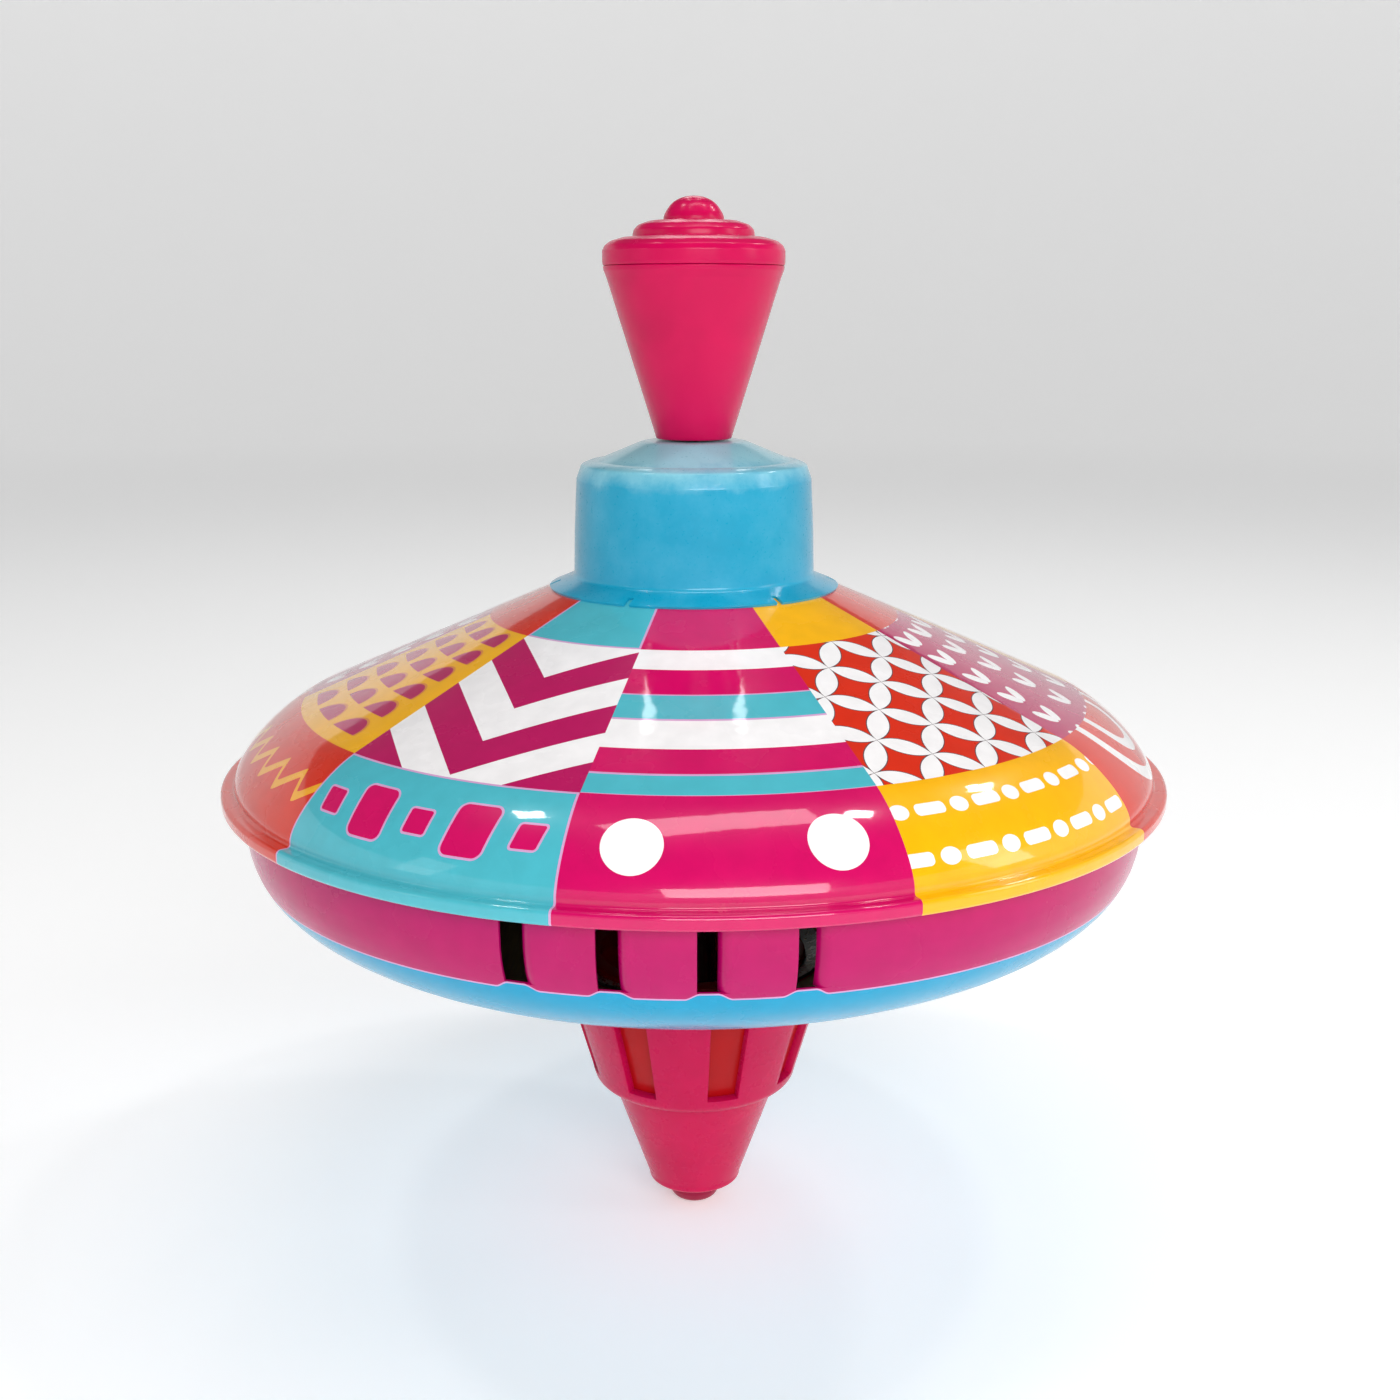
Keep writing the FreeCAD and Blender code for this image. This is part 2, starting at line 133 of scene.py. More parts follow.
def thicken(piece, wall, **settings):
    """Gives a skin a wall of this thickness, inwards."""
    mod = piece.modifiers.new("wall", "SOLIDIFY")
    mod.thickness = wall * MM
    mod.offset = -1.0
    for key, value in settings.items():
        setattr(mod, key, value)


def finished(piece, sharp_deg=38.0):
    """Applies the piece's modifiers and shades it smooth between its sharp edges."""
    bpy.context.view_layer.update()
    mesh = bpy.data.meshes.new_from_object(piece.evaluated_get(bpy.context.evaluated_depsgraph_get()))
    mesh.name = piece.name
    piece.modifiers.clear()
    piece.data = mesh
    mesh.shade_smooth()
    mesh.set_sharp_from_angle(angle=math.radians(sharp_deg))
    return piece


def ink(text):
    """An sRGB hex colour as linear RGBA."""
    parts = [int(text[i:i + 2], 16) / 255 for i in (1, 3, 5)]
    return [c / 12.92 if c <= 0.04045 else ((c + 0.055) / 1.055) ** 2.4 for c in parts] + [1.0]


def add(tree, kind, inputs=(), out=0, **settings):
    """Adds a node, sets it up, fills its inputs by number or name, and gives one of its outputs."""
    node = tree.nodes.new(kind)
    for key, value in settings.items():
        setattr(node, key, value)
    for key, value in inputs.items() if isinstance(inputs, dict) else enumerate(inputs):
        if isinstance(value, bpy.types.NodeSocket):
            tree.links.new(value, node.inputs[key])
        elif value is not None:
            node.inputs[key].default_value = value
    return node.outputs[out] if len(node.outputs) else node


MAGENTA = ink("#d60262")
TEAL = ink("#4ebccb")
YELLOW = ink("#ffba00")
VERMILION = ink("#de2c0c")
PURPLE = ink("#bd0a5e")
WHITE = ink("#fdfbfb")
LILAC = ink("#dba6d4")
KEYLINE = ink("#5a4448")


def fresh(name):
    """An empty node material."""
    material = bpy.data.materials.new(name)
    material.use_nodes = True
    material.node_tree.nodes.clear()
    return material, material.node_tree


def printed_tin(name, artwork, varnish=0.05, gloss=0.9):
    """Litho-printed tinplate: flat opaque ink under stoved clear varnish. The varnish gives a sharp
    reflection, a little wavy like rolled sheet, over a softer ink. varnish is the roughness of that
    coat and gloss its weight."""
    material, tree = fresh(name)
    place = add(tree, "ShaderNodeTexCoord", out=3)
    colour = artwork(tree)
    # ink film, uneven in patches of 4 mm
    cloud = add(tree, "ShaderNodeTexNoise", {"Vector": place, "Scale": 250.0, "Detail": 3.0})
    tone = add(tree, "ShaderNodeMapRange", (cloud, 0.3, 0.7, 0.95, 1.03))
    colour = add(tree, "ShaderNodeHueSaturation", {"Value": tone, "Color": colour})
    # pinholes 0.3 mm wide that show the white base, so rare that about one falls on the whole sheet
    cell = add(tree, "ShaderNodeTexVoronoi", {"Vector": place, "Scale": 70.0})
    dot = add(tree, MATH, (cell, 0.011), operation="LESS_THAN")
    luck = add(tree, "ShaderNodeSeparateColor", (cell.node.outputs["Color"],))
    rare = add(tree, MATH, (luck, 0.12), operation="LESS_THAN")
    hole = add(tree, MATH, (dot, rare), operation="MULTIPLY")
    colour = add(tree, MIX, {0: hole, 6: colour, 7: ink("#efe3e6")}, out=2, data_type="RGBA")
    # rubbed patches of 17 mm are duller
    rub = add(tree, "ShaderNodeTexNoise", {"Vector": place, "Scale": 60.0, "Detail": 6.0})
    rough = add(tree, "ShaderNodeMapRange", (rub, 0.35, 0.75, 0.22, 0.34))
    # very shallow varnish flow of 2.5 mm and print grain of 0.3 mm
    flow = add(tree, "ShaderNodeTexNoise", {"Vector": place, "Scale": 400.0, "Detail": 1.0})
    wave = add(tree, "ShaderNodeBump", {"Strength": 0.10, "Distance": 0.00012, "Height": flow})
    grain = add(tree, "ShaderNodeTexNoise", {"Vector": place, "Scale": 3200.0, "Detail": 2.0})
    skin = add(tree, "ShaderNodeBump",
               {"Strength": 0.12, "Distance": 0.00004, "Height": grain, "Normal": wave})
    shader = add(tree, "ShaderNodeBsdfPrincipled", {
        "Base Color": colour, "Roughness": rough, "IOR": 1.5, "Specular IOR Level": 0.15, "Normal": skin,
        "Coat Weight": gloss, "Coat Roughness": varnish, "Coat IOR": 1.5, "Coat Normal": wave})
    add(tree, "ShaderNodeOutputMaterial", (shader,))
    return material


# the artwork reads two maps: "polar" is (degrees from the sector's middle, mm down the slope),
# "flat" is (x, y) in mm on the sheet before it was drawn
HALF = SECTOR_DEG / 2
TOP_S = TOP_RING_R / math.cos(CONE)
LOW_S = KNEE_R / math.cos(CONE)
DEG_MM = math.radians(1.0) * math.cos(CONE)
TRAP = 0.42


def on_sheet(tree):
    """Degrees from the sector's middle, and mm down the slope."""
    deg = add(tree, "ShaderNodeSeparateXYZ", (add(tree, "ShaderNodeUVMap", uv_map="polar"),))
    return deg, deg.node.outputs[1]


def counted(tree, value, first, pitch):
    """How many pitches value is past first."""
    past = add(tree, MATH, (value, first), operation="SUBTRACT")
    return add(tree, MATH, (past, pitch), operation="DIVIDE")


def nearest(tree, value, pitch):
    """The nearest whole number of pitches, and how far value is past it."""
    count = add(tree, MATH, (value, pitch), operation="DIVIDE")
    count = add(tree, MATH, (count,), operation="ROUND")
    return count, add(tree, MATH, (count, -pitch, value), operation="MULTIPLY_ADD")


def near_line(tree, value, at, width):
    """1 where value is within width of at."""
    off = add(tree, MATH, (value, at), operation="SUBTRACT")
    off = add(tree, MATH, (off,), operation="ABSOLUTE")
    return add(tree, MATH, (off, width), operation="LESS_THAN")


def past_core(tree, x, y, half_x, half_y):
    """Distance outside a rectangle of these half sizes; within a corner radius of it lies a rounded bar."""
    over = []
    for reach, half in ((x, half_x), (y, half_y)):
        past = add(tree, MATH, (reach, half), operation="SUBTRACT")
        over.append(add(tree, MATH, (past, 0.0), operation="MAXIMUM"))
    over = add(tree, "ShaderNodeCombineXYZ", over)
    return add(tree, "ShaderNodeVectorMath", (over,), out=1, operation="LENGTH")


def in_oval(tree, x, y):
    """x squared and y squared, added up: below 1 inside an oval whose half sizes x and y were divided by."""
    square = add(tree, MATH, (y, y), operation="MULTIPLY")
    return add(tree, MATH, (x, x, square), operation="MULTIPLY_ADD")


def teal_field(tree, ring):
    """Teal with a pale lilac trap line along the sector's edges and its ring, and the two polar values."""
    deg, slope = on_sheet(tree)
    side = add(tree, MATH, (deg,), operation="ABSOLUTE")
    side = add(tree, MATH, (side, slope), operation="MULTIPLY")
    reach = add(tree, MATH, (slope, HALF), operation="MULTIPLY")
    gap = add(tree, MATH, (reach, side), operation="SUBTRACT")
    gap = add(tree, MATH, (gap, DEG_MM), operation="MULTIPLY")
    edge = add(tree, MATH, (gap, TRAP), operation="LESS_THAN")
    line = add(tree, MATH, (edge, near_line(tree, slope, ring, TRAP)), operation="MAXIMUM")
    return add(tree, MIX, {0: line, 6: TEAL, 7: LILAC}, out=2, data_type="RGBA"), deg, slope


def teal_plain(tree):
    return teal_field(tree, TOP_S)[0]


def teal_windows(tree):
    """Five rounded windows on teal, small and large by turns, with lilac trap lines."""
    pitch, row = 10.6, 95.9
    ground, deg, slope = teal_field(tree, LOW_S)
    along = add(tree, MATH, (deg, slope), operation="MULTIPLY")
    along = add(tree, MATH, (along, DEG_MM), operation="MULTIPLY")
    step, x = nearest(tree, along, pitch)
    step = add(tree, MATH, (step,), operation="ABSOLUTE")
    five = add(tree, MATH, (step, 2.5), operation="LESS_THAN")
    large = add(tree, MATH, (step, 2.0), operation="MODULO")
    x = add(tree, MATH, (x,), operation="ABSOLUTE")
    y = add(tree, MATH, (slope, row), operation="SUBTRACT")
    y = add(tree, MATH, (y,), operation="ABSOLUTE")
    # half width and half height without the corners, and the corner radius: (more if large, small)
    half_x, half_y, corner = (add(tree, MATH, (large, more, small), operation="MULTIPLY_ADD")
                              for more, small in ((0.6, 1.8), (1.6, 1.8), (1.0, 0.5)))
    away = add(tree, MATH, (past_core(tree, x, y, half_x, half_y), corner), operation="SUBTRACT")
    for width, colour in ((TRAP, LILAC), (0.0, MAGENTA)):
        mask = add(tree, MATH, (away, width), operation="LESS_THAN")
        mask = add(tree, MATH, (mask, five), operation="MULTIPLY")
        ground = add(tree, MIX, {0: mask, 6: ground, 7: colour}, out=2, data_type="RGBA")
    return ground


def stripes(tree):
    """Six rings of stripe: white, magenta, teal, white, magenta, teal. Lilac trap lines edge the teal."""
    starts = ((45.0, WHITE), (51.0, MAGENTA), (58.3, LILAC), (58.7, TEAL), (65.5, LILAC), (65.9, WHITE),
              (73.7, MAGENTA), (80.4, LILAC), (80.8, TEAL), (85.8, LILAC))
    share = add(tree, "ShaderNodeMapRange", (on_sheet(tree)[1], TOP_S, LOW_S, 0.0, 1.0))
    striped = add(tree, "ShaderNodeValToRGB", (share,))
    ramp = striped.node.color_ramp
    ramp.interpolation = "CONSTANT"
    for n, (at, colour) in enumerate(starts):
        stop = ramp.elements[n] if n < 2 else ramp.elements.new(1.0)
        stop.position = max(0.0, (at - TOP_S) / (LOW_S - TOP_S))
        stop.color = colour
    return striped


def chevrons(tree):
    """Bands folded along the sector's middle, white and purple by turns, 9.8 mm wide."""
    lean, first, band = 0.92, 46.2, 9.8
    x = add(tree, "ShaderNodeSeparateXYZ", (add(tree, "ShaderNodeUVMap", uv_map="flat"),))
    y = x.node.outputs[1]
    side = add(tree, MATH, (x,), operation="ABSOLUTE")
    fold = add(tree, MATH, (side, lean, y), operation="MULTIPLY_ADD")
    fold = add(tree, MATH, (fold, first + 0.1), operation="MAXIMUM")
    part = add(tree, MATH, (counted(tree, fold, first, 2 * band),), operation="FRACT")
    second = add(tree, MATH, (part, 0.5), operation="GREATER_THAN")
    return add(tree, MIX, {0: second, 6: WHITE, 7: PURPLE}, out=2, data_type="RGBA")


def leaves(tree):
    """Half leaves, three across and six down, flat side towards the rim."""
    column_deg, row_mm, first, last = 10.2, 6.4, 44.2, 82.7
    leaf_high, leaf_half, lean = 4.4, 3.7, 1.1
    deg, slope = on_sheet(tree)
    across = add(tree, MATH, (deg, 1.0), operation="ADD")
    column, off = nearest(tree, across, column_deg)
    column = add(tree, MATH, (column,), operation="ABSOLUTE")
    inner = add(tree, MATH, (column, 1.5), operation="LESS_THAN")
    row = add(tree, MATH, (counted(tree, slope, first, row_mm),), operation="FRACT")
    rise = add(tree, MATH, (1.0, row), operation="SUBTRACT")
    rise = add(tree, MATH, (rise, row_mm / leaf_high), operation="MULTIPLY")
    wide = add(tree, MATH, (rise, -lean, off), operation="MULTIPLY_ADD")
    wide = add(tree, MATH, (wide, leaf_half), operation="DIVIDE")
    size = in_oval(tree, wide, rise)
    upper = add(tree, MATH, (slope, last), operation="LESS_THAN")
    inner = add(tree, MATH, (inner, upper), operation="MULTIPLY")
    ground = YELLOW
    for reach, colour in ((1.22, ink("#e88f3c")), (1.0, PURPLE)):
        mask = add(tree, MATH, (size, reach), operation="LESS_THAN")
        mask = add(tree, MATH, (mask, inner), operation="MULTIPLY")
        ground = add(tree, MIX, {0: mask, 6: ground, 7: colour}, out=2, data_type="RGBA")
    return ground


def petals(tree):
    """White petals between crossing rings, on a 9.8 mm lattice turned 45 degrees, with fine key lines."""
    lattice = 9.8
    ring_r = math.sqrt(0.5)
    flat = add(tree, "ShaderNodeUVMap", uv_map="flat")
    turned = add(tree, "ShaderNodeMapping", {"Vector": flat, "Rotation": (0.0, 0.0, -math.radians(45))})
    moved = add(tree, "ShaderNodeVectorMath", (turned, (-1.3, -3.6, 0.0)), operation="ADD")
    unit = add(tree, "ShaderNodeVectorMath", (moved, (lattice, lattice, lattice)), operation="DIVIDE")
    part = add(tree, "ShaderNodeVectorMath", (unit,), operation="FRACTION")
    # distance from the middle of the lattice cell
    half = add(tree, "ShaderNodeVectorMath", (part, (0.5, 0.5, 0.0)), operation="SUBTRACT")
    half = add(tree, "ShaderNodeVectorMath", (half,), operation="ABSOLUTE")
    right = add(tree, "ShaderNodeVectorMath", (half, (1.0, 0.0, 0.0)), out=1, operation="DISTANCE")
    above = add(tree, "ShaderNodeVectorMath", (half, (0.0, 1.0, 0.0)), out=1, operation="DISTANCE")
    closest = add(tree, MATH, (right, above), operation="MINIMUM")
    petal = add(tree, MATH, (closest, ring_r), operation="LESS_THAN")
    line = near_line(tree, closest, ring_r + 0.006, 0.010)
    colour = add(tree, MIX, {0: petal, 6: VERMILION, 7: WHITE}, out=2, data_type="RGBA")
    return add(tree, MIX, {0: line, 6: colour, 7: KEYLINE}, out=2, data_type="RGBA")


def ticks(tree):
    """White two-petal ticks on purple. Each petal leans outwards, away from the rim."""
    column_deg, row_mm, first = 12.0, 7.5, 46.6
    petal_half, petal_long, apart, lean = 1.3, 2.75, 1.75, math.radians(32)
    deg, slope = on_sheet(tree)
    off = nearest(tree, deg, column_deg)[1]
    off = add(tree, MATH, (off, slope), operation="MULTIPLY")
    off = add(tree, MATH, (off, DEG_MM), operation="MULTIPLY")
    off = add(tree, MATH, (off,), operation="ABSOLUTE")
    side = add(tree, MATH, (off, apart), operation="SUBTRACT")
    row = add(tree, MATH, (counted(tree, slope, first, row_mm),), operation="FRACT")
    down = add(tree, MATH, (row, 0.5), operation="SUBTRACT")
    down = add(tree, MATH, (down, row_mm), operation="MULTIPLY")
    turned = []
    for on_side, on_down, size in ((math.cos(lean), math.sin(lean), petal_half),
                                   (math.sin(lean), -math.cos(lean), petal_long)):
        part = add(tree, MATH, (side, on_side), operation="MULTIPLY")
        part = add(tree, MATH, (down, on_down, part), operation="MULTIPLY_ADD")
        turned.append(add(tree, MATH, (part, size), operation="DIVIDE"))
    petal = add(tree, MATH, (in_oval(tree, *turned), 1.0), operation="LESS_THAN")
    return add(tree, MIX, {0: petal, 6: PURPLE, 7: WHITE}, out=2, data_type="RGBA")


def discs(tree):
    """Two white discs on magenta."""
    disc_r, side, row = 5.15, 16.7, 94.8
    flat = add(tree, "ShaderNodeUVMap", uv_map="flat")
    folded = add(tree, "ShaderNodeVectorMath", (flat,), operation="ABSOLUTE")
    away = add(tree, "ShaderNodeVectorMath", (folded, (side, row, 0.0)), out=1, operation="DISTANCE")
    disc = add(tree, MATH, (away, disc_r), operation="LESS_THAN")
    return add(tree, MIX, {0: disc, 6: MAGENTA, 7: WHITE}, out=2, data_type="RGBA")


def dot_dash(tree):
    """Two rows of white dots and dashes on yellow, half a step apart."""
    step_deg, first_deg, row, apart = 8.15, -17.1, 92.3, 8.9
    dot_wide, dot_high, dash_core, dash_flat, dash_end = 1.9, 1.55, 2.15, 0.25, 0.95
    deg, slope = on_sheet(tree)
    lower = add(tree, MATH, (slope, row + apart / 2), operation="GREATER_THAN")
    centre = add(tree, MATH, (lower, apart, row), operation="MULTIPLY_ADD")
    y = add(tree, MATH, (slope, centre), operation="SUBTRACT")
    step = add(tree, MATH, (lower, 0.5, counted(tree, deg, first_deg, step_deg)), operation="MULTIPLY_ADD")
    step_mm = step_deg * DEG_MM * 96.0
    dot_x = add(tree, MATH, (step, 0.5), operation="ADD")
    dot_x = add(tree, MATH, (dot_x,), operation="FRACT")
    dot_x = add(tree, MATH, (dot_x, 0.5), operation="SUBTRACT")
    dot_x = add(tree, MATH, (dot_x, step_mm / dot_wide), operation="MULTIPLY")
    dot_y = add(tree, MATH, (y, dot_high), operation="DIVIDE")
    dot = add(tree, MATH, (in_oval(tree, dot_x, dot_y), 1.0), operation="LESS_THAN")
    dash_x = add(tree, MATH, (step,), operation="FRACT")
    dash_x = add(tree, MATH, (dash_x, 0.5), operation="SUBTRACT")
    dash_x = add(tree, MATH, (dash_x,), operation="ABSOLUTE")
    dash_x = add(tree, MATH, (dash_x, step_mm), operation="MULTIPLY")
    dash_y = add(tree, MATH, (y,), operation="ABSOLUTE")
    over = past_core(tree, dash_x, dash_y, dash_core, dash_flat)
    dash = add(tree, MATH, (over, dash_end), operation="LESS_THAN")
    mark = add(tree, MATH, (dot, dash), operation="MAXIMUM")
    return add(tree, MIX, {0: mark, 6: YELLOW, 7: WHITE}, out=2, data_type="RGBA")


def zigzag(tree):
    """A yellow zigzag line on vermilion, one stroke long and one steep, with rounded turns."""
    tooth_deg, first_deg, long_share = 6.2, -22.6, 0.74
    top, high, half_line = 93.5, 5.0, 1.05
    deg, slope = on_sheet(tree)
    part = add(tree, MATH, (counted(tree, deg, first_deg, tooth_deg),), operation="FRACT")
    steep_share = 1 - long_share
    rise = add(tree, MATH, (part, -1 / long_share, 1.0), operation="MULTIPLY_ADD")
    fall = add(tree, MATH, (part, 1 / steep_share, -long_share / steep_share), operation="MULTIPLY_ADD")
    tooth = add(tree, MATH, (rise, fall, 0.22), operation="SMOOTH_MAX")
    tooth = add(tree, MATH, (tooth, 0.94, 0.12), operation="SMOOTH_MIN")
    line = add(tree, MATH, (tooth, high, top), operation="MULTIPLY_ADD")
    off = add(tree, MATH, (slope, line), operation="SUBTRACT")
    stroke = near_line(tree, off, 0.0, half_line)
    return add(tree, MIX, {0: stroke, 6: VERMILION, 7: ink("#fbb01e")}, out=2, data_type="RGBA")


def nested_arches(tree):
    """Two white U lines, one in the other, that open towards the neck."""
    deg, slope = on_sheet(tree)
    x = add(tree, MATH, (deg, 0.6), operation="SUBTRACT")
    x = add(tree, MATH, (x, DEG_MM * 92.0), operation="MULTIPLY")
    y = add(tree, MATH, (slope, LOW_S), operation="SUBTRACT")
    strokes = []
    for wide, deep, line in ((17.0, 17.2, 0.085), (8.8, 10.6, 0.145)):
        a = add(tree, MATH, (x, wide), operation="DIVIDE")
        b = add(tree, MATH, (y, deep), operation="DIVIDE")
        size = add(tree, "ShaderNodeCombineXYZ", (a, b))
        size = add(tree, "ShaderNodeVectorMath", (size,), out=1, operation="LENGTH")
        strokes.append(near_line(tree, size, 1.0, line))
    mark = add(tree, MATH, strokes, operation="MAXIMUM")
    return add(tree, MIX, {0: mark, 6: VERMILION, 7: WHITE}, out=2, data_type="RGBA")


def one_ink(colour):
    """Artwork of one ink with nothing on it."""
    return lambda tree: colour


# from the neck outwards each sector has a plain band, a pattern and a low band
designs = {
    "leaves": (("litho_vermilion", one_ink(VERMILION)), ("litho_leaves", leaves), ("litho_zigzag", zigzag)),
    "chevrons": (("litho_teal", teal_plain), ("litho_chevrons", chevrons), ("litho_windows", teal_windows)),
    "stripes": (("litho_magenta", one_ink(MAGENTA)), ("litho_stripes", stripes), ("litho_discs", discs)),
    "petals": (("litho_yellow", one_ink(YELLOW)), ("litho_petals", petals), ("litho_dot_dash", dot_dash)),
    "ticks": (("litho_vermilion", one_ink(VERMILION)), ("litho_ticks", ticks),
              ("litho_arches", nested_arches)),
}
order = ["stripes", "petals", "ticks", "leaves", "chevrons"] * 2
shoulder = (WALL_R, dome_z(WALL_R))
roll_in = math.dist((KNEE_R, dome_z(KNEE_R)), shoulder)
dome_line = [(r, dome_z(r)) for r in (HOLE_R, 29.15, 35.0, TOP_RING_R, 50.0, 60.0, 70.0)]
dome_line = bent_line(dome_line + [
    shoulder + (roll_in, shoulder[1] - WALL_Z, 0.5), (WALL_R, BEAD_TOP, 0.6), (RIM_R, BEAD_TOP, 0.9),
    (RIM_R, BEAD_LOW, 0.9), (RIM_R - 4.2, BEAD_LOW)], steps=14)
slopes = [dome_line[0][0] / math.cos(CONE)]
for a, b in zip(dome_line, dome_line[1:]):
    slopes.append(slopes[-1] + math.dist(a, b))
start = FIRST_SECTOR - HALF
dome = lathe("dome_litho", dome_line, [start + i for i in range(360)])
slots = {}
for bands in designs.values():
    for title, artwork in bands:
        if title not in slots:
            slots[title] = len(slots)
            dome.data.materials.append(printed_tin(title, artwork))
# plain tinplate under thin gold lacquer: warm, dull metal with rolling lines 0.4 mm apart
bare, tree = fresh("tinplate_gold_lacquer_inside")
place = add(tree, "ShaderNodeTexCoord", out=3)
stretched = add(tree, "ShaderNodeMapping", {"Vector": place, "Scale": (2600.0, 90.0, 90.0)})
rolling = add(tree, "ShaderNodeTexNoise", {"Vector": stretched, "Scale": 1.0, "Detail": 4.0})
dull = add(tree, "ShaderNodeMapRange", (rolling, 0.3, 0.7, 0.32, 0.5))
warm = add(tree, "ShaderNodeMapRange", (rolling, 0.3, 0.7, 0.0, 1.0))
colour = add(tree, MIX, {0: warm, 6: ink("#9c8a60"), 7: ink("#b7a67c")}, out=2, data_type="RGBA")
shader = add(tree, "ShaderNodeBsdfPrincipled", {"Base Color": colour, "Metallic": 0.9, "Roughness": dull})
add(tree, "ShaderNodeOutputMaterial", (shader,))
dome.data.materials.append(bare)

polar = dome.data.uv_layers.new(name="polar").data
flat = dome.data.uv_layers.new(name="flat").data
cells = itertools.product(range(len(dome_line) - 1), range(360))
for face, (i, j) in zip(dome.data.polygons, cells):
    sector = j // SECTOR_DEG
    band = 2
    if dome_line[i + 1][1] > dome_z(TOP_RING_R) - 1e-6:
        band = 0
    elif slopes[i + 1] <= LOW_S + 1e-6:
        band = 1
    face.material_index = slots[designs[order[sector]][band][0]]
    for loop, (ring, side) in zip(face.loop_indices, ((i, j), (i + 1, j), (i + 1, j + 1), (i, j + 1))):
        deg = side - sector * SECTOR_DEG - HALF
        t = math.radians(deg) * math.cos(CONE)
        polar[loop].uv = (deg, slopes[ring])
        flat[loop].uv = (slopes[ring] * math.sin(t), slopes[ring] * math.cos(t))
thicken(dome, TIN, material_offset=len(slots) + 1, material_offset_rim=0)
finished(dome)
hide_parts("upper_shell")
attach(dome, "top_body")


# ------------------------------------------------------------------ bowl with louvres
# The lower shell is a second tinplate drawing, lapped into the dome's bead. Groups of
# louvres are lanced and curled inwards; the top hums when air is drawn through them.
BOWL_R = WALL_R - 1.7
BOWL_SLOPE = math.tan(math.radians(16.4))
BOWL_KNEE_R = BOWL_R - 30.0
BOWL_KNEE_Z = BEAD_LOW - 29.9
BOWL_WALL_Z = BEAD_LOW - 3.9
BOWL_HOLE_R = 22.0
LOUVRES = 4
LOUVRE_GROUPS = 2
LOUVRE_PITCH = 10.27
LOUVRE_CENTRE = -3.1
LOUVRE_W = 5.6
LOUVRE_LOW = BEAD_LOW - 12.5
LOUVRE_TOP = LOUVRE_LOW + 11.2
CURL_R = 2.2
CURL_DEG = 80.0


def bowl_z(r):
    return BOWL_KNEE_Z - (BOWL_KNEE_R - r) * BOWL_SLOPE


def with_level(line, z):
    """The line with a point added where it passes height z."""
    for i, (a, b) in enumerate(zip(line, line[1:])):
        if (a[1] - z) * (b[1] - z) < 0:
            t = (z - a[1]) / (b[1] - a[1])
            return line[:i + 1] + [(a[0] + (b[0] - a[0]) * t, z)] + line[i + 1:]
    return line


def ring_of(piece, material, count, pitch, centre=0.0, groups=1):
    """Repeats a piece made at the front around Z, count times in each group, and joins what meets."""
    tree = bpy.data.node_groups.new("ring of " + piece.name, "GeometryNodeTree")
    face = tree.interface
    face.new_socket("Geometry", in_out="INPUT", socket_type="NodeSocketGeometry")
    sockets = {name: face.new_socket(name, in_out="INPUT", socket_type=kind) for name, kind in (
        ("Count", "NodeSocketInt"), ("Groups", "NodeSocketInt"), ("Pitch", "NodeSocketFloat"),
        ("Centre", "NodeSocketFloat"), ("Material", "NodeSocketMaterial"))}
    face.new_socket("Geometry", in_out="OUTPUT", socket_type="NodeSocketGeometry")
    given = add(tree, "NodeGroupInput").node.outputs
    total = add(tree, MATH, (given["Count"], given["Groups"]), operation="MULTIPLY")
    points = add(tree, "GeometryNodePoints", {"Count": total})
    index = add(tree, "GeometryNodeInputIndex")
    within = add(tree, MATH, (index, given["Count"]), operation="MODULO")
    group = add(tree, MATH, (index, given["Count"]), operation="DIVIDE")
    group = add(tree, MATH, (group,), operation="FLOOR")
    middle = add(tree, MATH, (given["Count"], 0.5, -0.5), operation="MULTIPLY_ADD")
    steps = add(tree, MATH, (within, middle), operation="SUBTRACT")
    turn = add(tree, MATH, (steps, given["Pitch"], given["Centre"]), operation="MULTIPLY_ADD")
    share = add(tree, MATH, (360.0, given["Groups"]), operation="DIVIDE")
    turn = add(tree, MATH, (group, share, turn), operation="MULTIPLY_ADD")
    turn = add(tree, MATH, (turn,), operation="RADIANS")
    spin = add(tree, "ShaderNodeCombineXYZ", (0.0, 0.0, turn))
    copies = add(tree, "GeometryNodeInstanceOnPoints",
                 {"Points": points, "Instance": given["Geometry"], "Rotation": spin})
    solid = add(tree, "GeometryNodeRealizeInstances", {"Geometry": copies})
    solid = add(tree, "GeometryNodeMergeByDistance", {"Geometry": solid, "Distance": 0.00001})
    solid = add(tree, "GeometryNodeSetMaterial", {"Geometry": solid, "Material": given["Material"]})
    add(tree, "NodeGroupOutput", (solid,))
    ring = piece.modifiers.new("ring", "NODES")
    ring.node_group = tree
    for name, value in (("Count", count), ("Groups", groups), ("Pitch", float(pitch)),
                        ("Centre", float(centre)), ("Material", material)):
        ring[sockets[name].identifier] = value


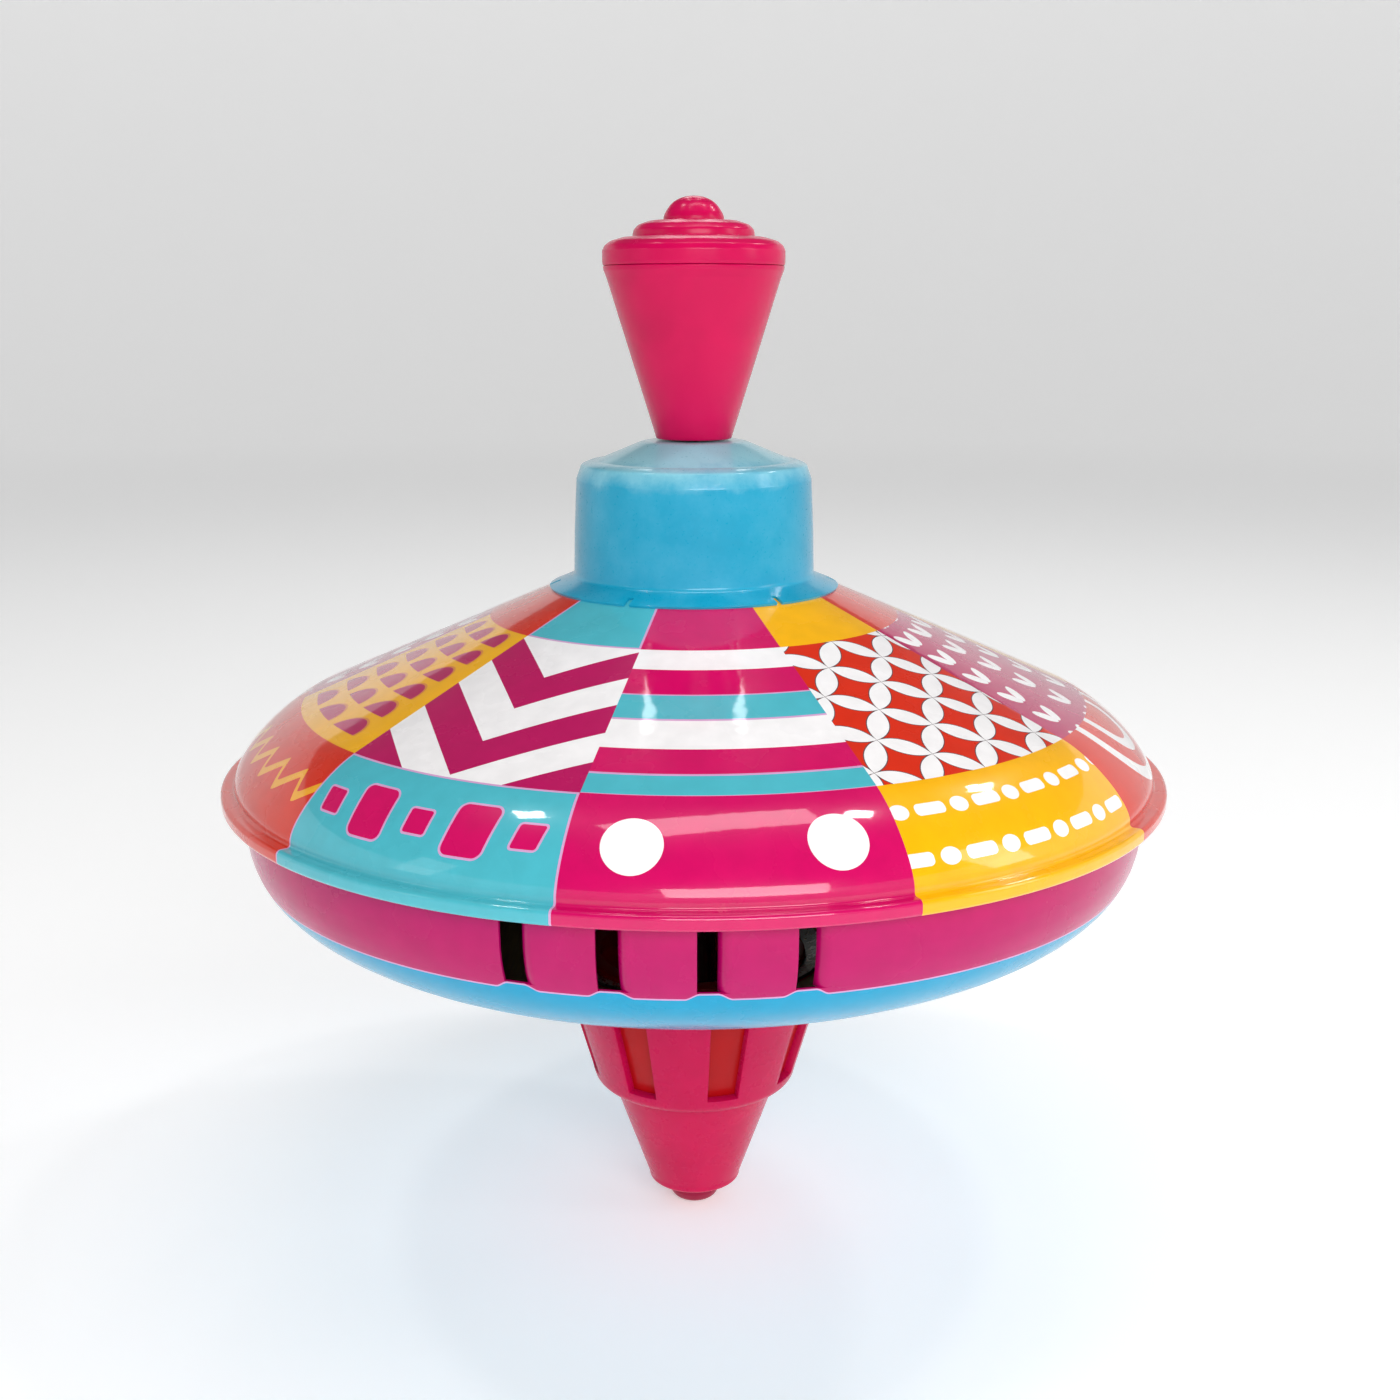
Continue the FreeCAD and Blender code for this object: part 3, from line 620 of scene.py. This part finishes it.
def two_inks_on_bowl(tree):
    """Magenta above blue. The edge between them dips between louvres and has a pale lilac line."""
    place = add(tree, "ShaderNodeTexCoord", out=3)
    x = add(tree, "ShaderNodeSeparateXYZ", (place,))
    y, z = x.node.outputs[1], x.node.outputs[2]
    # degrees from the front, or from the back for the second group
    back = add(tree, MATH, (y,), operation="SIGN")
    side = add(tree, MATH, (x, back), operation="MULTIPLY")
    side = add(tree, MATH, (side, -1.0), operation="MULTIPLY")
    deep = add(tree, MATH, (y,), operation="ABSOLUTE")
    deg = add(tree, MATH, (side, deep), operation="ARCTAN2")
    deg = add(tree, MATH, (deg,), operation="DEGREES")
    off = add(tree, MATH, (deg, LOUVRE_CENTRE), operation="SUBTRACT")
    reach = add(tree, MATH, (off,), operation="ABSOLUTE")
    inner = add(tree, MATH, (reach, LOUVRE_PITCH * LOUVRES / 2), operation="LESS_THAN")
    step = add(tree, MATH, (off, LOUVRE_PITCH), operation="DIVIDE")
    step = add(tree, MATH, (step,), operation="FRACT")
    arch = add(tree, MATH, (step, 0.45), operation="SUBTRACT")
    arch = add(tree, MATH, (arch,), operation="ABSOLUTE")
    arch = add(tree, "ShaderNodeMapRange", (arch, 0.09, 0.25, 1.0, 0.0), interpolation_type="SMOOTHSTEP")
    rise = add(tree, MATH, (arch, inner), operation="MULTIPLY")
    rise = add(tree, MATH, (rise, 1.15 * MM), operation="MULTIPLY")
    over = add(tree, MATH, (z, rise), operation="SUBTRACT")
    edge = (LOUVRE_LOW - 1.25) * MM
    blue = add(tree, MATH, (over, edge), operation="LESS_THAN")
    line = near_line(tree, over, edge, 0.15 * MM)
    low = add(tree, "ShaderNodeMapRange", (z, BOWL_KNEE_Z * MM, edge, 0.0, 1.0))
    sky = add(tree, MIX, {0: low, 6: ink("#10a8ce"), 7: ink("#069fca")}, out=2, data_type="RGBA")
    colour = add(tree, MIX, {0: blue, 6: ink("#bb0664"), 7: sky}, out=2, data_type="RGBA")
    return add(tree, MIX, {0: line, 6: colour, 7: LILAC}, out=2, data_type="RGBA")


turn_in = (BOWL_R, bowl_z(BOWL_R))
bowl_line = bent_line([
    (RIM_R - 1.1, BEAD_TOP - 0.6), (BOWL_R, BEAD_TOP - 0.6, 0.3),
    turn_in + (BOWL_WALL_Z - turn_in[1], math.dist((BOWL_KNEE_R, BOWL_KNEE_Z), turn_in), 1.212),
    (45.0, bowl_z(45.0)), (BOWL_HOLE_R, bowl_z(BOWL_HOLE_R))], steps=16)
half_high = (LOUVRE_TOP - LOUVRE_LOW) / 2
for level in (LOUVRE_LOW, LOUVRE_TOP, LOUVRE_LOW + half_high, LOUVRE_LOW + 0.7, LOUVRE_TOP - 0.7):
    bowl_line = with_level(bowl_line, level)
half_louvre = math.degrees(LOUVRE_W / 2 / BOWL_R)
louvre_at = [LOUVRE_CENTRE + (i - (LOUVRES - 1) / 2) * LOUVRE_PITCH + g * 360 / LOUVRE_GROUPS
             for g in range(LOUVRE_GROUPS) for i in range(LOUVRES)]
sides = sorted([c - half_louvre for c in louvre_at] + [c + half_louvre for c in louvre_at])
grid = [a for a in range(-40, 320, 2) if min(abs(a - s) for s in sides) > 0.7]
grid = sorted(grid + sides)


def in_louvre(i, j):
    middle = (grid[j] + grid[(j + 1) % len(grid)]) / 2
    high = (bowl_line[i][1] + bowl_line[i + 1][1]) / 2
    return LOUVRE_LOW < high < LOUVRE_TOP and any(abs(middle - c) < half_louvre for c in louvre_at)


bowl_ink = printed_tin("litho_bowl_two_inks", two_inks_on_bowl, varnish=0.12, gloss=0.35)
bowl = lathe("bowl_litho", bowl_line, grid, in_louvre)
bowl.data.materials.append(bowl_ink)
bowl.data.materials.append(bare)
thicken(bowl, TIN, material_offset=1, material_offset_rim=0)
finished(bowl)
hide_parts("lower_shell")
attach(bowl, "top_body")

# each louvre's tongue: hinged on the right edge, curled inwards
edge = [p for p in bowl_line if LOUVRE_LOW - 1e-6 <= p[1] <= LOUVRE_TOP + 1e-6]
curl_steps = 8
spots, faces = [], []
for r, z in edge:
    hinge = math.asin(LOUVRE_W / 2 / r)
    for k in range(curl_steps + 1):
        t = math.radians(CURL_DEG) * k / curl_steps
        out = r - CURL_R + CURL_R * math.cos(t)
        side = -CURL_R * math.sin(t)
        spots.append(((out * math.sin(hinge) + side * math.cos(hinge)) * MM,
                      (-out * math.cos(hinge) + side * math.sin(hinge)) * MM, z * MM))
row = curl_steps + 1
for i in range(len(edge) - 1):
    for k in range(curl_steps):
        faces.append((i * row + k, i * row + k + 1, (i + 1) * row + k + 1, (i + 1) * row + k))
tongues = placed("louvre_tongues", spots, faces)
ring_of(tongues, bowl_ink, LOUVRES, LOUVRE_PITCH, LOUVRE_CENTRE, LOUVRE_GROUPS)
thicken(tongues, TIN * 0.8)
finished(tongues)
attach(tongues, "top_body")


# ------------------------------------------------------------------ neck cap
# A deep-drawn tin cap in blue stoved lacquer. Its flange is cut into six petals that
# lie on the dome, held by tabs bent over inside.
NECK_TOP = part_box("neck_cap")[1].z / MM
FLANGE_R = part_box("neck_cap")[1].x / MM
PETALS = 6
PETAL_TURN = 34.0
NOTCH_W = 1.2
NOTCH_DEEP = 2.3
lift = TIN / math.cos(CONE)
neck_line = bent_line([
    (5.2, NECK_TOP), (10.0, NECK_TOP, 6.0), (19.4, NECK_TOP - 3.9, 0.8), (20.9, NECK_TOP - 4.05),
    (22.5, NECK_TOP - 4.7, 1.0), (23.5, NECK_TOP - 7.5, 1.2), (24.0, NECK_TOP - 18.0),
    (24.2, dome_z(24.2) + lift, 1.1), (FLANGE_R - 2.2, dome_z(FLANGE_R - 2.2) + lift),
    (FLANGE_R - 0.5, dome_z(FLANGE_R - 0.5) + lift + 0.06), (FLANGE_R, dome_z(FLANGE_R) + lift)], steps=6)
notch = math.degrees(NOTCH_W / 2 / FLANGE_R)
span = 180 / PETALS
inner_span = span - notch
petal_angles = [-span, -inner_span] + [-inner_span + 2 * inner_span * k / 24 for k in range(1, 24)]
petal_angles += [inner_span, span]


def in_notch(i, j):
    r, z = neck_line[i]
    return j in (0, len(petal_angles) - 2) and r > FLANGE_R - NOTCH_DEEP and z < NECK_TOP - 20


neck = lathe("neck_cap_lacquered", neck_line, petal_angles, in_notch)
# glossy opaque lacquer over drawn tin, cloudy in patches of 9 mm, with faint upright draw lines
# 0.7 mm apart and dust nibs of 0.6 mm
stoved, tree = fresh("blue_stoved_lacquer_on_drawn_tin")
place = add(tree, "ShaderNodeTexCoord", out=3)
cloud = add(tree, "ShaderNodeTexNoise",
            {"Vector": place, "Scale": 110.0, "Detail": 7.0, "Roughness": 0.65})
tone = add(tree, "ShaderNodeMapRange", (cloud, 0.3, 0.7, 0.93, 1.05))
# painted highlight: the roof is paler towards its top in place of the lamps' sheen on it, with a blotchy
# edge below it; faint random pale patches of wear are mixed in
height = add(tree, "ShaderNodeSeparateXYZ", (place,), out=2)
ragged = add(tree, MATH, (cloud, 9.0 * MM, height), operation="MULTIPLY_ADD")
painted_roof_sheen = add(tree, "ShaderNodeMapRange", (ragged, (NECK_TOP - 4.0) * MM, (NECK_TOP + 1.5) * MM, 0.0, 0.72))
worn = add(tree, "ShaderNodeMapRange", (cloud, 0.45, 0.75, 0.0, 0.10))
# the paler of the painted roof highlight and the random wear
painted_sheen_and_wear = add(tree, MATH, (painted_roof_sheen, worn), operation="MAXIMUM")
colour = add(tree, MIX, {0: painted_sheen_and_wear, 6: ink("#00a2c8"), 7: ink("#a4dbe2")}, out=2, data_type="RGBA")
colour = add(tree, "ShaderNodeHueSaturation", {"Value": tone, "Color": colour})
drawn = add(tree, "ShaderNodeMapping", {"Vector": place, "Scale": (1500.0, 1500.0, 60.0)})
lines = add(tree, "ShaderNodeTexNoise", {"Vector": drawn, "Scale": 1.0, "Detail": 2.0})
nibs = add(tree, "ShaderNodeTexNoise", {"Vector": place, "Scale": 1700.0, "Detail": 3.0})
low = add(tree, "ShaderNodeBump", {"Strength": 0.10, "Distance": 0.00006, "Height": lines})
skin = add(tree, "ShaderNodeBump", {"Strength": 0.22, "Distance": 0.00006, "Height": nibs, "Normal": low})
rough = add(tree, "ShaderNodeMapRange", (nibs, 0.3, 0.7, 0.26, 0.40))
shader = add(tree, "ShaderNodeBsdfPrincipled", {
    "Base Color": colour, "Roughness": rough, "IOR": 1.5, "Specular IOR Level": 0.3, "Normal": skin,
    "Coat Weight": 0.6, "Coat Roughness": 0.10, "Coat IOR": 1.45, "Coat Normal": skin})
add(tree, "ShaderNodeOutputMaterial", (shader,))
ring_of(neck, stoved, PETALS, 360 / PETALS, PETAL_TURN)
thicken(neck, TIN)
finished(neck, 50.0)
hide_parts("neck_cap")
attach(neck, "top_body")


# ------------------------------------------------------------------ plunger knob
# Two polystyrene mouldings: a hollow cone to grip and a stepped cap pressed into it.
# A faint line shows where they meet.
KNOB_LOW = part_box("knob_grip")[0].z / MM
KNOB_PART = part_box("knob_grip")[1].z / MM
CONE_R = 17.05
BAND_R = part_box("knob_cap")[1].x / MM
AROUND = [i * 2.5 for i in range(144)]


def moulded(name, colour, satin):
    """Injection-moulded plastic: even colour right through, satin gloss with faint flow marks, a fine
    mould texture and a few light scuffs from handling. Its roughness runs from satin - 0.02 up to
    satin + 0.06 in the scuffs."""
    material, tree = fresh(name)
    place = add(tree, "ShaderNodeTexCoord", out=3)
    # flow marks of 11 mm, scuffs of 4.5 mm, shrinkage of 7.7 mm, mould grain of 0.45 mm
    flow = add(tree, "ShaderNodeTexNoise",
               {"Vector": place, "Scale": 90.0, "Detail": 2.0, "Distortion": 0.6})
    tone = add(tree, "ShaderNodeMapRange", (flow, 0.3, 0.7, 0.94, 1.04))
    base = add(tree, "ShaderNodeHueSaturation", {"Value": tone, "Color": ink(colour)})
    scuffs = add(tree, "ShaderNodeTexNoise",
                 {"Vector": place, "Scale": 220.0, "Detail": 6.0, "Roughness": 0.6})
    rough = add(tree, "ShaderNodeMapRange", (scuffs, 0.35, 0.75, satin - 0.02, satin + 0.06))
    sink = add(tree, "ShaderNodeTexNoise", {"Vector": place, "Scale": 130.0, "Detail": 1.0})
    shrink = add(tree, "ShaderNodeBump", {"Strength": 0.05, "Distance": 0.0002, "Height": sink})
    grain = add(tree, "ShaderNodeTexNoise", {"Vector": place, "Scale": 2200.0, "Detail": 2.0})
    skin = add(tree, "ShaderNodeBump",
               {"Strength": 0.06, "Distance": 0.00003, "Height": grain, "Normal": shrink})
    shader = add(tree, "ShaderNodeBsdfPrincipled", {
        "Base Color": base, "Roughness": rough, "IOR": 1.59, "Specular IOR Level": 0.18, "Normal": skin,
        "Subsurface Weight": 0.06, "Subsurface Radius": (0.004, 0.0012, 0.0015), "Subsurface Scale": 1.0})
    add(tree, "ShaderNodeOutputMaterial", (shader,))
    return material


knob_pink = moulded("polystyrene_magenta_red", "#cf0452", satin=0.22)
grip_line = bent_line([
    (15.4, KNOB_PART), (CONE_R + 0.7, KNOB_PART, 0.25), (CONE_R + 0.55, KNOB_PART - 0.9, 0.8),
    (CONE_R, KNOB_PART - 2.3, 3.0), (7.47, KNOB_LOW, 0.4), (3.2, KNOB_LOW, 0.3), (3.2, KNOB_LOW + 28.5, 0.2),
    (6.2, KNOB_LOW + 28.5, 0.2), (6.2, KNOB_LOW + 9.0, 0.4), (8.6, KNOB_LOW + 9.0, 0.6),
    (15.4, KNOB_PART - 2.3, 0.5), (15.4, KNOB_PART)], steps=5)
grip = lathe("knob_grip_moulded", grip_line, AROUND)
grip.data.materials.append(knob_pink)
finished(grip)
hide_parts("knob_grip")
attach(grip, "handle")

up = KNOB_PART - 2.3
cap_line = bent_line([
    (0.0, up + 15.5), (1.75, up + 15.35, 6.0), (3.4, up + 14.7, 6.0), (4.55, up + 13.85, 5.0),
    (5.62, up + 12.2, 3.0), (5.9, up + 11.4, 0.6), (5.9, up + 10.9, 0.25), (8.6, up + 10.75, 1.5),
    (10.75, up + 10.05, 1.8), (11.7, up + 9.1, 1.2), (11.9, up + 8.1, 0.3), (11.9, up + 7.75, 0.3),
    (13.9, up + 7.65, 2.0), (16.3, up + 6.95, 2.2), (17.4, up + 6.1, 1.2), (BAND_R, up + 5.1, 0.7),
    (BAND_R, KNOB_PART + 0.7, 0.5), (CONE_R + 0.7, KNOB_PART + 0.06, 0.2), (15.3, KNOB_PART + 0.06),
    (15.3, KNOB_PART - 2.2, 0.3), (13.7, KNOB_PART - 2.2, 0.3), (13.7, up + 4.6, 0.6), (10.0, up + 5.6, 0.8),
    (9.6, up + 8.2, 0.6), (0.0, up + 9.0)], steps=5)
cap = lathe("knob_cap_moulded", cap_line, AROUND)
cap.data.materials.append(knob_pink)
finished(cap)
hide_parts("knob_cap")
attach(cap, "handle")


# ------------------------------------------------------------------ foot
# A polystyrene cage with eight windows over a red inner cup, clamped through the
# bowl's hole by a ring inside, with a rounded tip that the top spins on.
CAGE_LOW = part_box("foot_cage")[0].z / MM
CAGE_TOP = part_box("foot_cage")[1].z / MM
COLLAR_TOP_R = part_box("foot_cage")[1].x / MM
WINDOWS = 8
WINDOW_DEG = 17.0
WINDOW_TURN = 15.5
WINDOW_LOW = 32.35
WINDOW_TOP = 55.0
RIB = 1.8
COLLAR_LOW = (21.98, 32.75)
cage_line = bent_line([
    (COLLAR_TOP_R, CAGE_TOP), (28.4, 54.9), COLLAR_LOW + (3.0,), (21.1, 29.45, 2.6), (17.75, 28.9, 0.5),
    (9.92, 6.84, 2.0), (9.7, CAGE_LOW, 1.0), (2.6, CAGE_LOW)], steps=7)
for level in (WINDOW_LOW, WINDOW_TOP, 44.0, 38.0, 50.0):
    cage_line = with_level(cage_line, level)
pitch = 360 / WINDOWS
half = WINDOW_DEG / 2
cage_angles = [-pitch / 2 + (pitch / 2 - half) * k / 5 for k in range(6)]
cage_angles += [-half / 2, 0.0, half / 2] + [-a for a in cage_angles[::-1]]


def in_window(i, j):
    high = (cage_line[i][1] + cage_line[i + 1][1]) / 2
    return WINDOW_LOW < high < WINDOW_TOP and abs(cage_angles[j] + cage_angles[j + 1]) / 2 < half


cage = lathe("foot_cage_moulded", cage_line, cage_angles, in_window)
foot_pink = moulded("polystyrene_foot_pink_red", "#cb084c", satin=0.27)
ring_of(cage, foot_pink, WINDOWS, pitch, WINDOW_TURN + pitch / 2)
thicken(cage, RIB)
soft = cage.modifiers.new("edges", "BEVEL")
soft.width = 0.25 * MM
soft.segments = 2
soft.angle_limit = math.radians(50)
finished(cage)
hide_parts("foot_cage")
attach(cage, "top_body")

CORE_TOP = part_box("foot_core")[1].z / MM
core_line = bent_line([
    (20.2, CORE_TOP), (23.4, CORE_TOP, 0.3), (23.6, CORE_TOP - 1.0), (21.7, CORE_TOP - 1.4), (21.7, 54.95),
    (27.25, 56.5, 0.2), (19.75, 31.1, 0.6), (4.6, 31.1)], steps=4)
core = lathe("foot_core_moulded", core_line, AROUND)
core.data.materials.append(moulded("polystyrene_red", "#b80a0e", satin=0.30))
thicken(core, 1.4)
finished(core)
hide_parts("foot_core")
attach(core, "top_body")

tip_line = bent_line([
    (2.5, 11.0), (2.5, CAGE_LOW), (5.8, CAGE_LOW, 0.15), (5.5, 2.6, 1.6), (4.6, 0.7, 2.4), (1.6, 0.0, 2.0),
    (0.0, 0.0)], steps=7)
tip = lathe("spinning_tip_moulded", [(0.0, 11.0)] + tip_line, AROUND)
tip.data.materials.append(moulded("nylon_tip_dark_pink", "#9c0c3c", satin=0.38))
finished(tip)
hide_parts("spinning_tip")
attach(tip, "top_body")


# ------------------------------------------------------------------ twisted rod
# A bright steel strip, cold-twisted one turn in 50 mm, pinned in the knob. It turns
# the nut as the knob goes up and down.
ROD_W = 6.0
ROD_T = 1.6
ROD_LEAD = 50.0
rod_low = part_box("drive_rod")[0].z / MM
rod_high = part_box("drive_rod")[1].z / MM
LEVELS = 170
w, h, c = ROD_W / 2, ROD_T / 2, 0.25
section = [(-w + c, -h), (w - c, -h), (w, -h + c), (w, h - c)]
section += [(-x, -y) for x, y in section]
count = len(section)
spots = [(x * MM, y * MM, (rod_low + (rod_high - rod_low) * i / LEVELS) * MM)
         for i in range(LEVELS + 1) for x, y in section]
faces = [(i * count + k, i * count + (k + 1) % count, (i + 1) * count + (k + 1) % count, (i + 1) * count + k)
         for i in range(LEVELS) for k in range(count)]
faces += [tuple(range(count - 1, -1, -1)), tuple(range(LEVELS * count, (LEVELS + 1) * count))]
rod = placed("twisted_rod", spots, faces)


def metal(name, dark, light, low, high, scale, detail=4.0):
    """Plain metal with its working marks. Its roughness runs from low to high across them, and
    scale is the marks per metre along X, Y and Z."""
    material, tree = fresh(name)
    place = add(tree, "ShaderNodeTexCoord", out=3)
    fine = add(tree, "ShaderNodeMapping", {"Vector": place, "Scale": scale})
    marks = add(tree, "ShaderNodeTexNoise", {"Vector": fine, "Scale": 1.0, "Detail": detail})
    rough = add(tree, "ShaderNodeMapRange", (marks, 0.3, 0.7, low, high))
    share = add(tree, "ShaderNodeMapRange", (marks, 0.3, 0.7, 0.0, 1.0))
    colour = add(tree, MIX, {0: share, 6: ink(dark), 7: ink(light)}, out=2, data_type="RGBA")
    skin = add(tree, "ShaderNodeBump", {"Strength": 0.15, "Distance": 0.00003, "Height": marks})
    shader = add(tree, "ShaderNodeBsdfPrincipled",
                 {"Base Color": colour, "Metallic": 1.0, "Roughness": rough, "Normal": skin})
    add(tree, "ShaderNodeOutputMaterial", (shader,))
    return material


# bright cold-rolled strip: fine lines along its length in a smooth, slightly oiled face
steel = metal("bright_drawn_steel_strip", "#8f9295", "#b9bbbd", 0.18, 0.34, (3000.0, 3000.0, 160.0), 5.0)
tree = bpy.data.node_groups.new("twist", "GeometryNodeTree")
tree.interface.new_socket("Geometry", in_out="INPUT", socket_type="NodeSocketGeometry")
lead = tree.interface.new_socket("Lead", in_out="INPUT", socket_type="NodeSocketFloat")
finish = tree.interface.new_socket("Material", in_out="INPUT", socket_type="NodeSocketMaterial")
tree.interface.new_socket("Geometry", in_out="OUTPUT", socket_type="NodeSocketGeometry")
given = add(tree, "NodeGroupInput").node.outputs
spot = add(tree, "GeometryNodeInputPosition")
height = add(tree, "ShaderNodeSeparateXYZ", (spot,), out=2)
turns = add(tree, MATH, (height, given["Lead"]), operation="DIVIDE")
turn = add(tree, MATH, (turns, 2 * math.pi), operation="MULTIPLY")
spun = add(tree, "ShaderNodeVectorRotate", {"Vector": spot, "Angle": turn}, rotation_type="Z_AXIS")
strip = add(tree, "GeometryNodeSetPosition", {"Geometry": given["Geometry"], "Position": spun})
strip = add(tree, "GeometryNodeRealizeInstances", {"Geometry": strip})
strip = add(tree, "GeometryNodeSetMaterial", {"Geometry": strip, "Material": given["Material"]})
add(tree, "NodeGroupOutput", (strip,))
twist = rod.modifiers.new("twist", "NODES")
twist.node_group = tree
twist[lead.identifier] = ROD_LEAD * MM
twist[finish.identifier] = steel
finished(rod, 30.0)
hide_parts("drive_rod")
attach(rod, "handle")


# ------------------------------------------------------------------ hidden works
# Bush, nut, washer, seat, tube, stop, pin and ring keep the frame's meshes. Each has the
# finish of its own process: moulded acetal, nylon or polystyrene, stamped brass, drawn steel, tin.
drawn_steel = metal("drawn_steel", "#85888b", "#adb0b2", 0.25, 0.42, (2500.0, 2500.0, 200.0))
seamed_tin = metal("seamed_tinplate_tube", "#a2a5a6", "#c3c6c6", 0.22, 0.38, (900.0, 900.0, 120.0))
finishes = {
    "neck_bush": moulded("acetal_natural", "#e9e4d8", satin=0.34),
    "drive_nut": moulded("nylon_natural", "#e4dfcf", satin=0.38),
    "ratchet_seat": moulded("polystyrene_seat_red", "#b5241f", satin=0.32),
    "thrust_washer": metal("stamped_brass", "#9a7a34", "#c9a558", 0.24, 0.42, (1200.0, 1200.0, 1200.0)),
    "guide_tube": seamed_tin,
    "rod_stop": drawn_steel,
    "rod_pin": drawn_steel,
    "foot_retainer": seamed_tin,
}
for node, material in finishes.items():
    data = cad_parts[node].data
    data.materials.clear()
    data.materials.append(material)


# ------------------------------------------------------------------ table, light and camera
# A round sweep of white paper, as pale from every side, under soft boxes: a wide one in
# front, one overhead, a slim one at each side, one and two strips behind. Three small bare
# lamps give the hard glints on the dome's shoulder.
def soft_box(name, at, size, glow):
    """A rectangular lamp that faces the object. at and size are in metres, and glow is its
    brightness against white paper."""
    light = bpy.data.lights.new(name, "AREA")
    light.shape = "RECTANGLE"
    light.size, light.size_y = size
    light.energy = glow * math.pi * size[0] * size[1]
    lamp = bpy.data.objects.new(name, light)
    lamp.location = at
    lamp.rotation_euler = (Vector((0.0, 0.0, 0.1)) - Vector(at)).to_track_quat("-Z", "Y").to_euler()
    bpy.context.scene.collection.objects.link(lamp)


PAPER_GLOW = 0.34
FLAT_R = 2200.0
SWEEP_R = 900.0
WALL_HIGH = 1500.0
sweep_line = [(0.0, 0.0), (300.0, 0.0), (1200.0, 0.0)]
sweep_line += [(FLAT_R + SWEEP_R * math.sin(t), SWEEP_R - SWEEP_R * math.cos(t))
               for t in (math.radians(9 * k) for k in range(11))] + [(FLAT_R + SWEEP_R, WALL_HIGH)]
table = lathe("table", sweep_line, [i * 5.0 for i in range(72)])
# matt paper, a little self-lit so that shadows stay light, with a faint fibre tone of 3 mm
paper, tree = fresh("white_paper_sweep")
place = add(tree, "ShaderNodeTexCoord", out=3)
fibre = add(tree, "ShaderNodeTexNoise", {"Vector": place, "Scale": 300.0, "Detail": 4.0})
tone = add(tree, "ShaderNodeMapRange", (fibre, 0.3, 0.7, 0.985, 1.0))
colour = add(tree, "ShaderNodeHueSaturation", {"Value": tone, "Color": ink("#f2f2f2")})
shader = add(tree, "ShaderNodeBsdfPrincipled", {
    "Base Color": colour, "Roughness": 0.9, "Specular IOR Level": 0.1,
    "Emission Color": ink("#ffffff"), "Emission Strength": PAPER_GLOW})
add(tree, "ShaderNodeOutputMaterial", (shader,))
table.data.materials.append(paper)
finished(table)

world = bpy.data.worlds.new("dim_ceiling")
world.use_nodes = True
world.node_tree.nodes["Background"].inputs["Color"].default_value = ink("#ffffff")
world.node_tree.nodes["Background"].inputs["Strength"].default_value = 0.10
bpy.context.scene.world = world
bpy.context.scene.view_settings.view_transform = "Standard"
soft_box("soft_box_front", (0.20, -0.95, 0.54), (0.66, 0.38), 7.0)
soft_box("soft_box_above", (0.04, -0.10, 1.15), (0.60, 0.20), 5.0)
soft_box("soft_box_left", (-1.0, -0.45, 0.55), (0.20, 0.5), 1.2)
soft_box("soft_box_right", (1.0, -0.25, 0.55), (0.25, 0.6), 3.6)
soft_box("soft_box_back", (0.0, 0.95, 0.86), (0.34, 0.16), 4.0)
BARE = (0.08, 0.08)
for hand, side in (("left", -1), ("right", 1)):
    soft_box("strip_back_" + hand, (0.13 * side, 0.62, 1.10), (0.030, 0.22), 8.0)
    soft_box("bare_lamp_" + hand, (0.41 * side, 0.02, 1.04), BARE, 40.0)
soft_box("bare_lamp_back", (0.62, 0.35, 0.86), BARE, 40.0)

LOOK_DOWN = 12.85
TURN_RIGHT = 0.2
camera = bpy.data.cameras.new("camera")
camera.sensor_width = 36.0
camera.lens = 44.43
eye = bpy.data.objects.new("camera", camera)
# the camera's place is in metres
eye.location = (0.0, -0.347, 0.1908)
eye.rotation_euler = (math.radians(90 - LOOK_DOWN), 0.0, -math.radians(TURN_RIGHT))
bpy.context.scene.collection.objects.link(eye)
bpy.context.scene.camera = eye
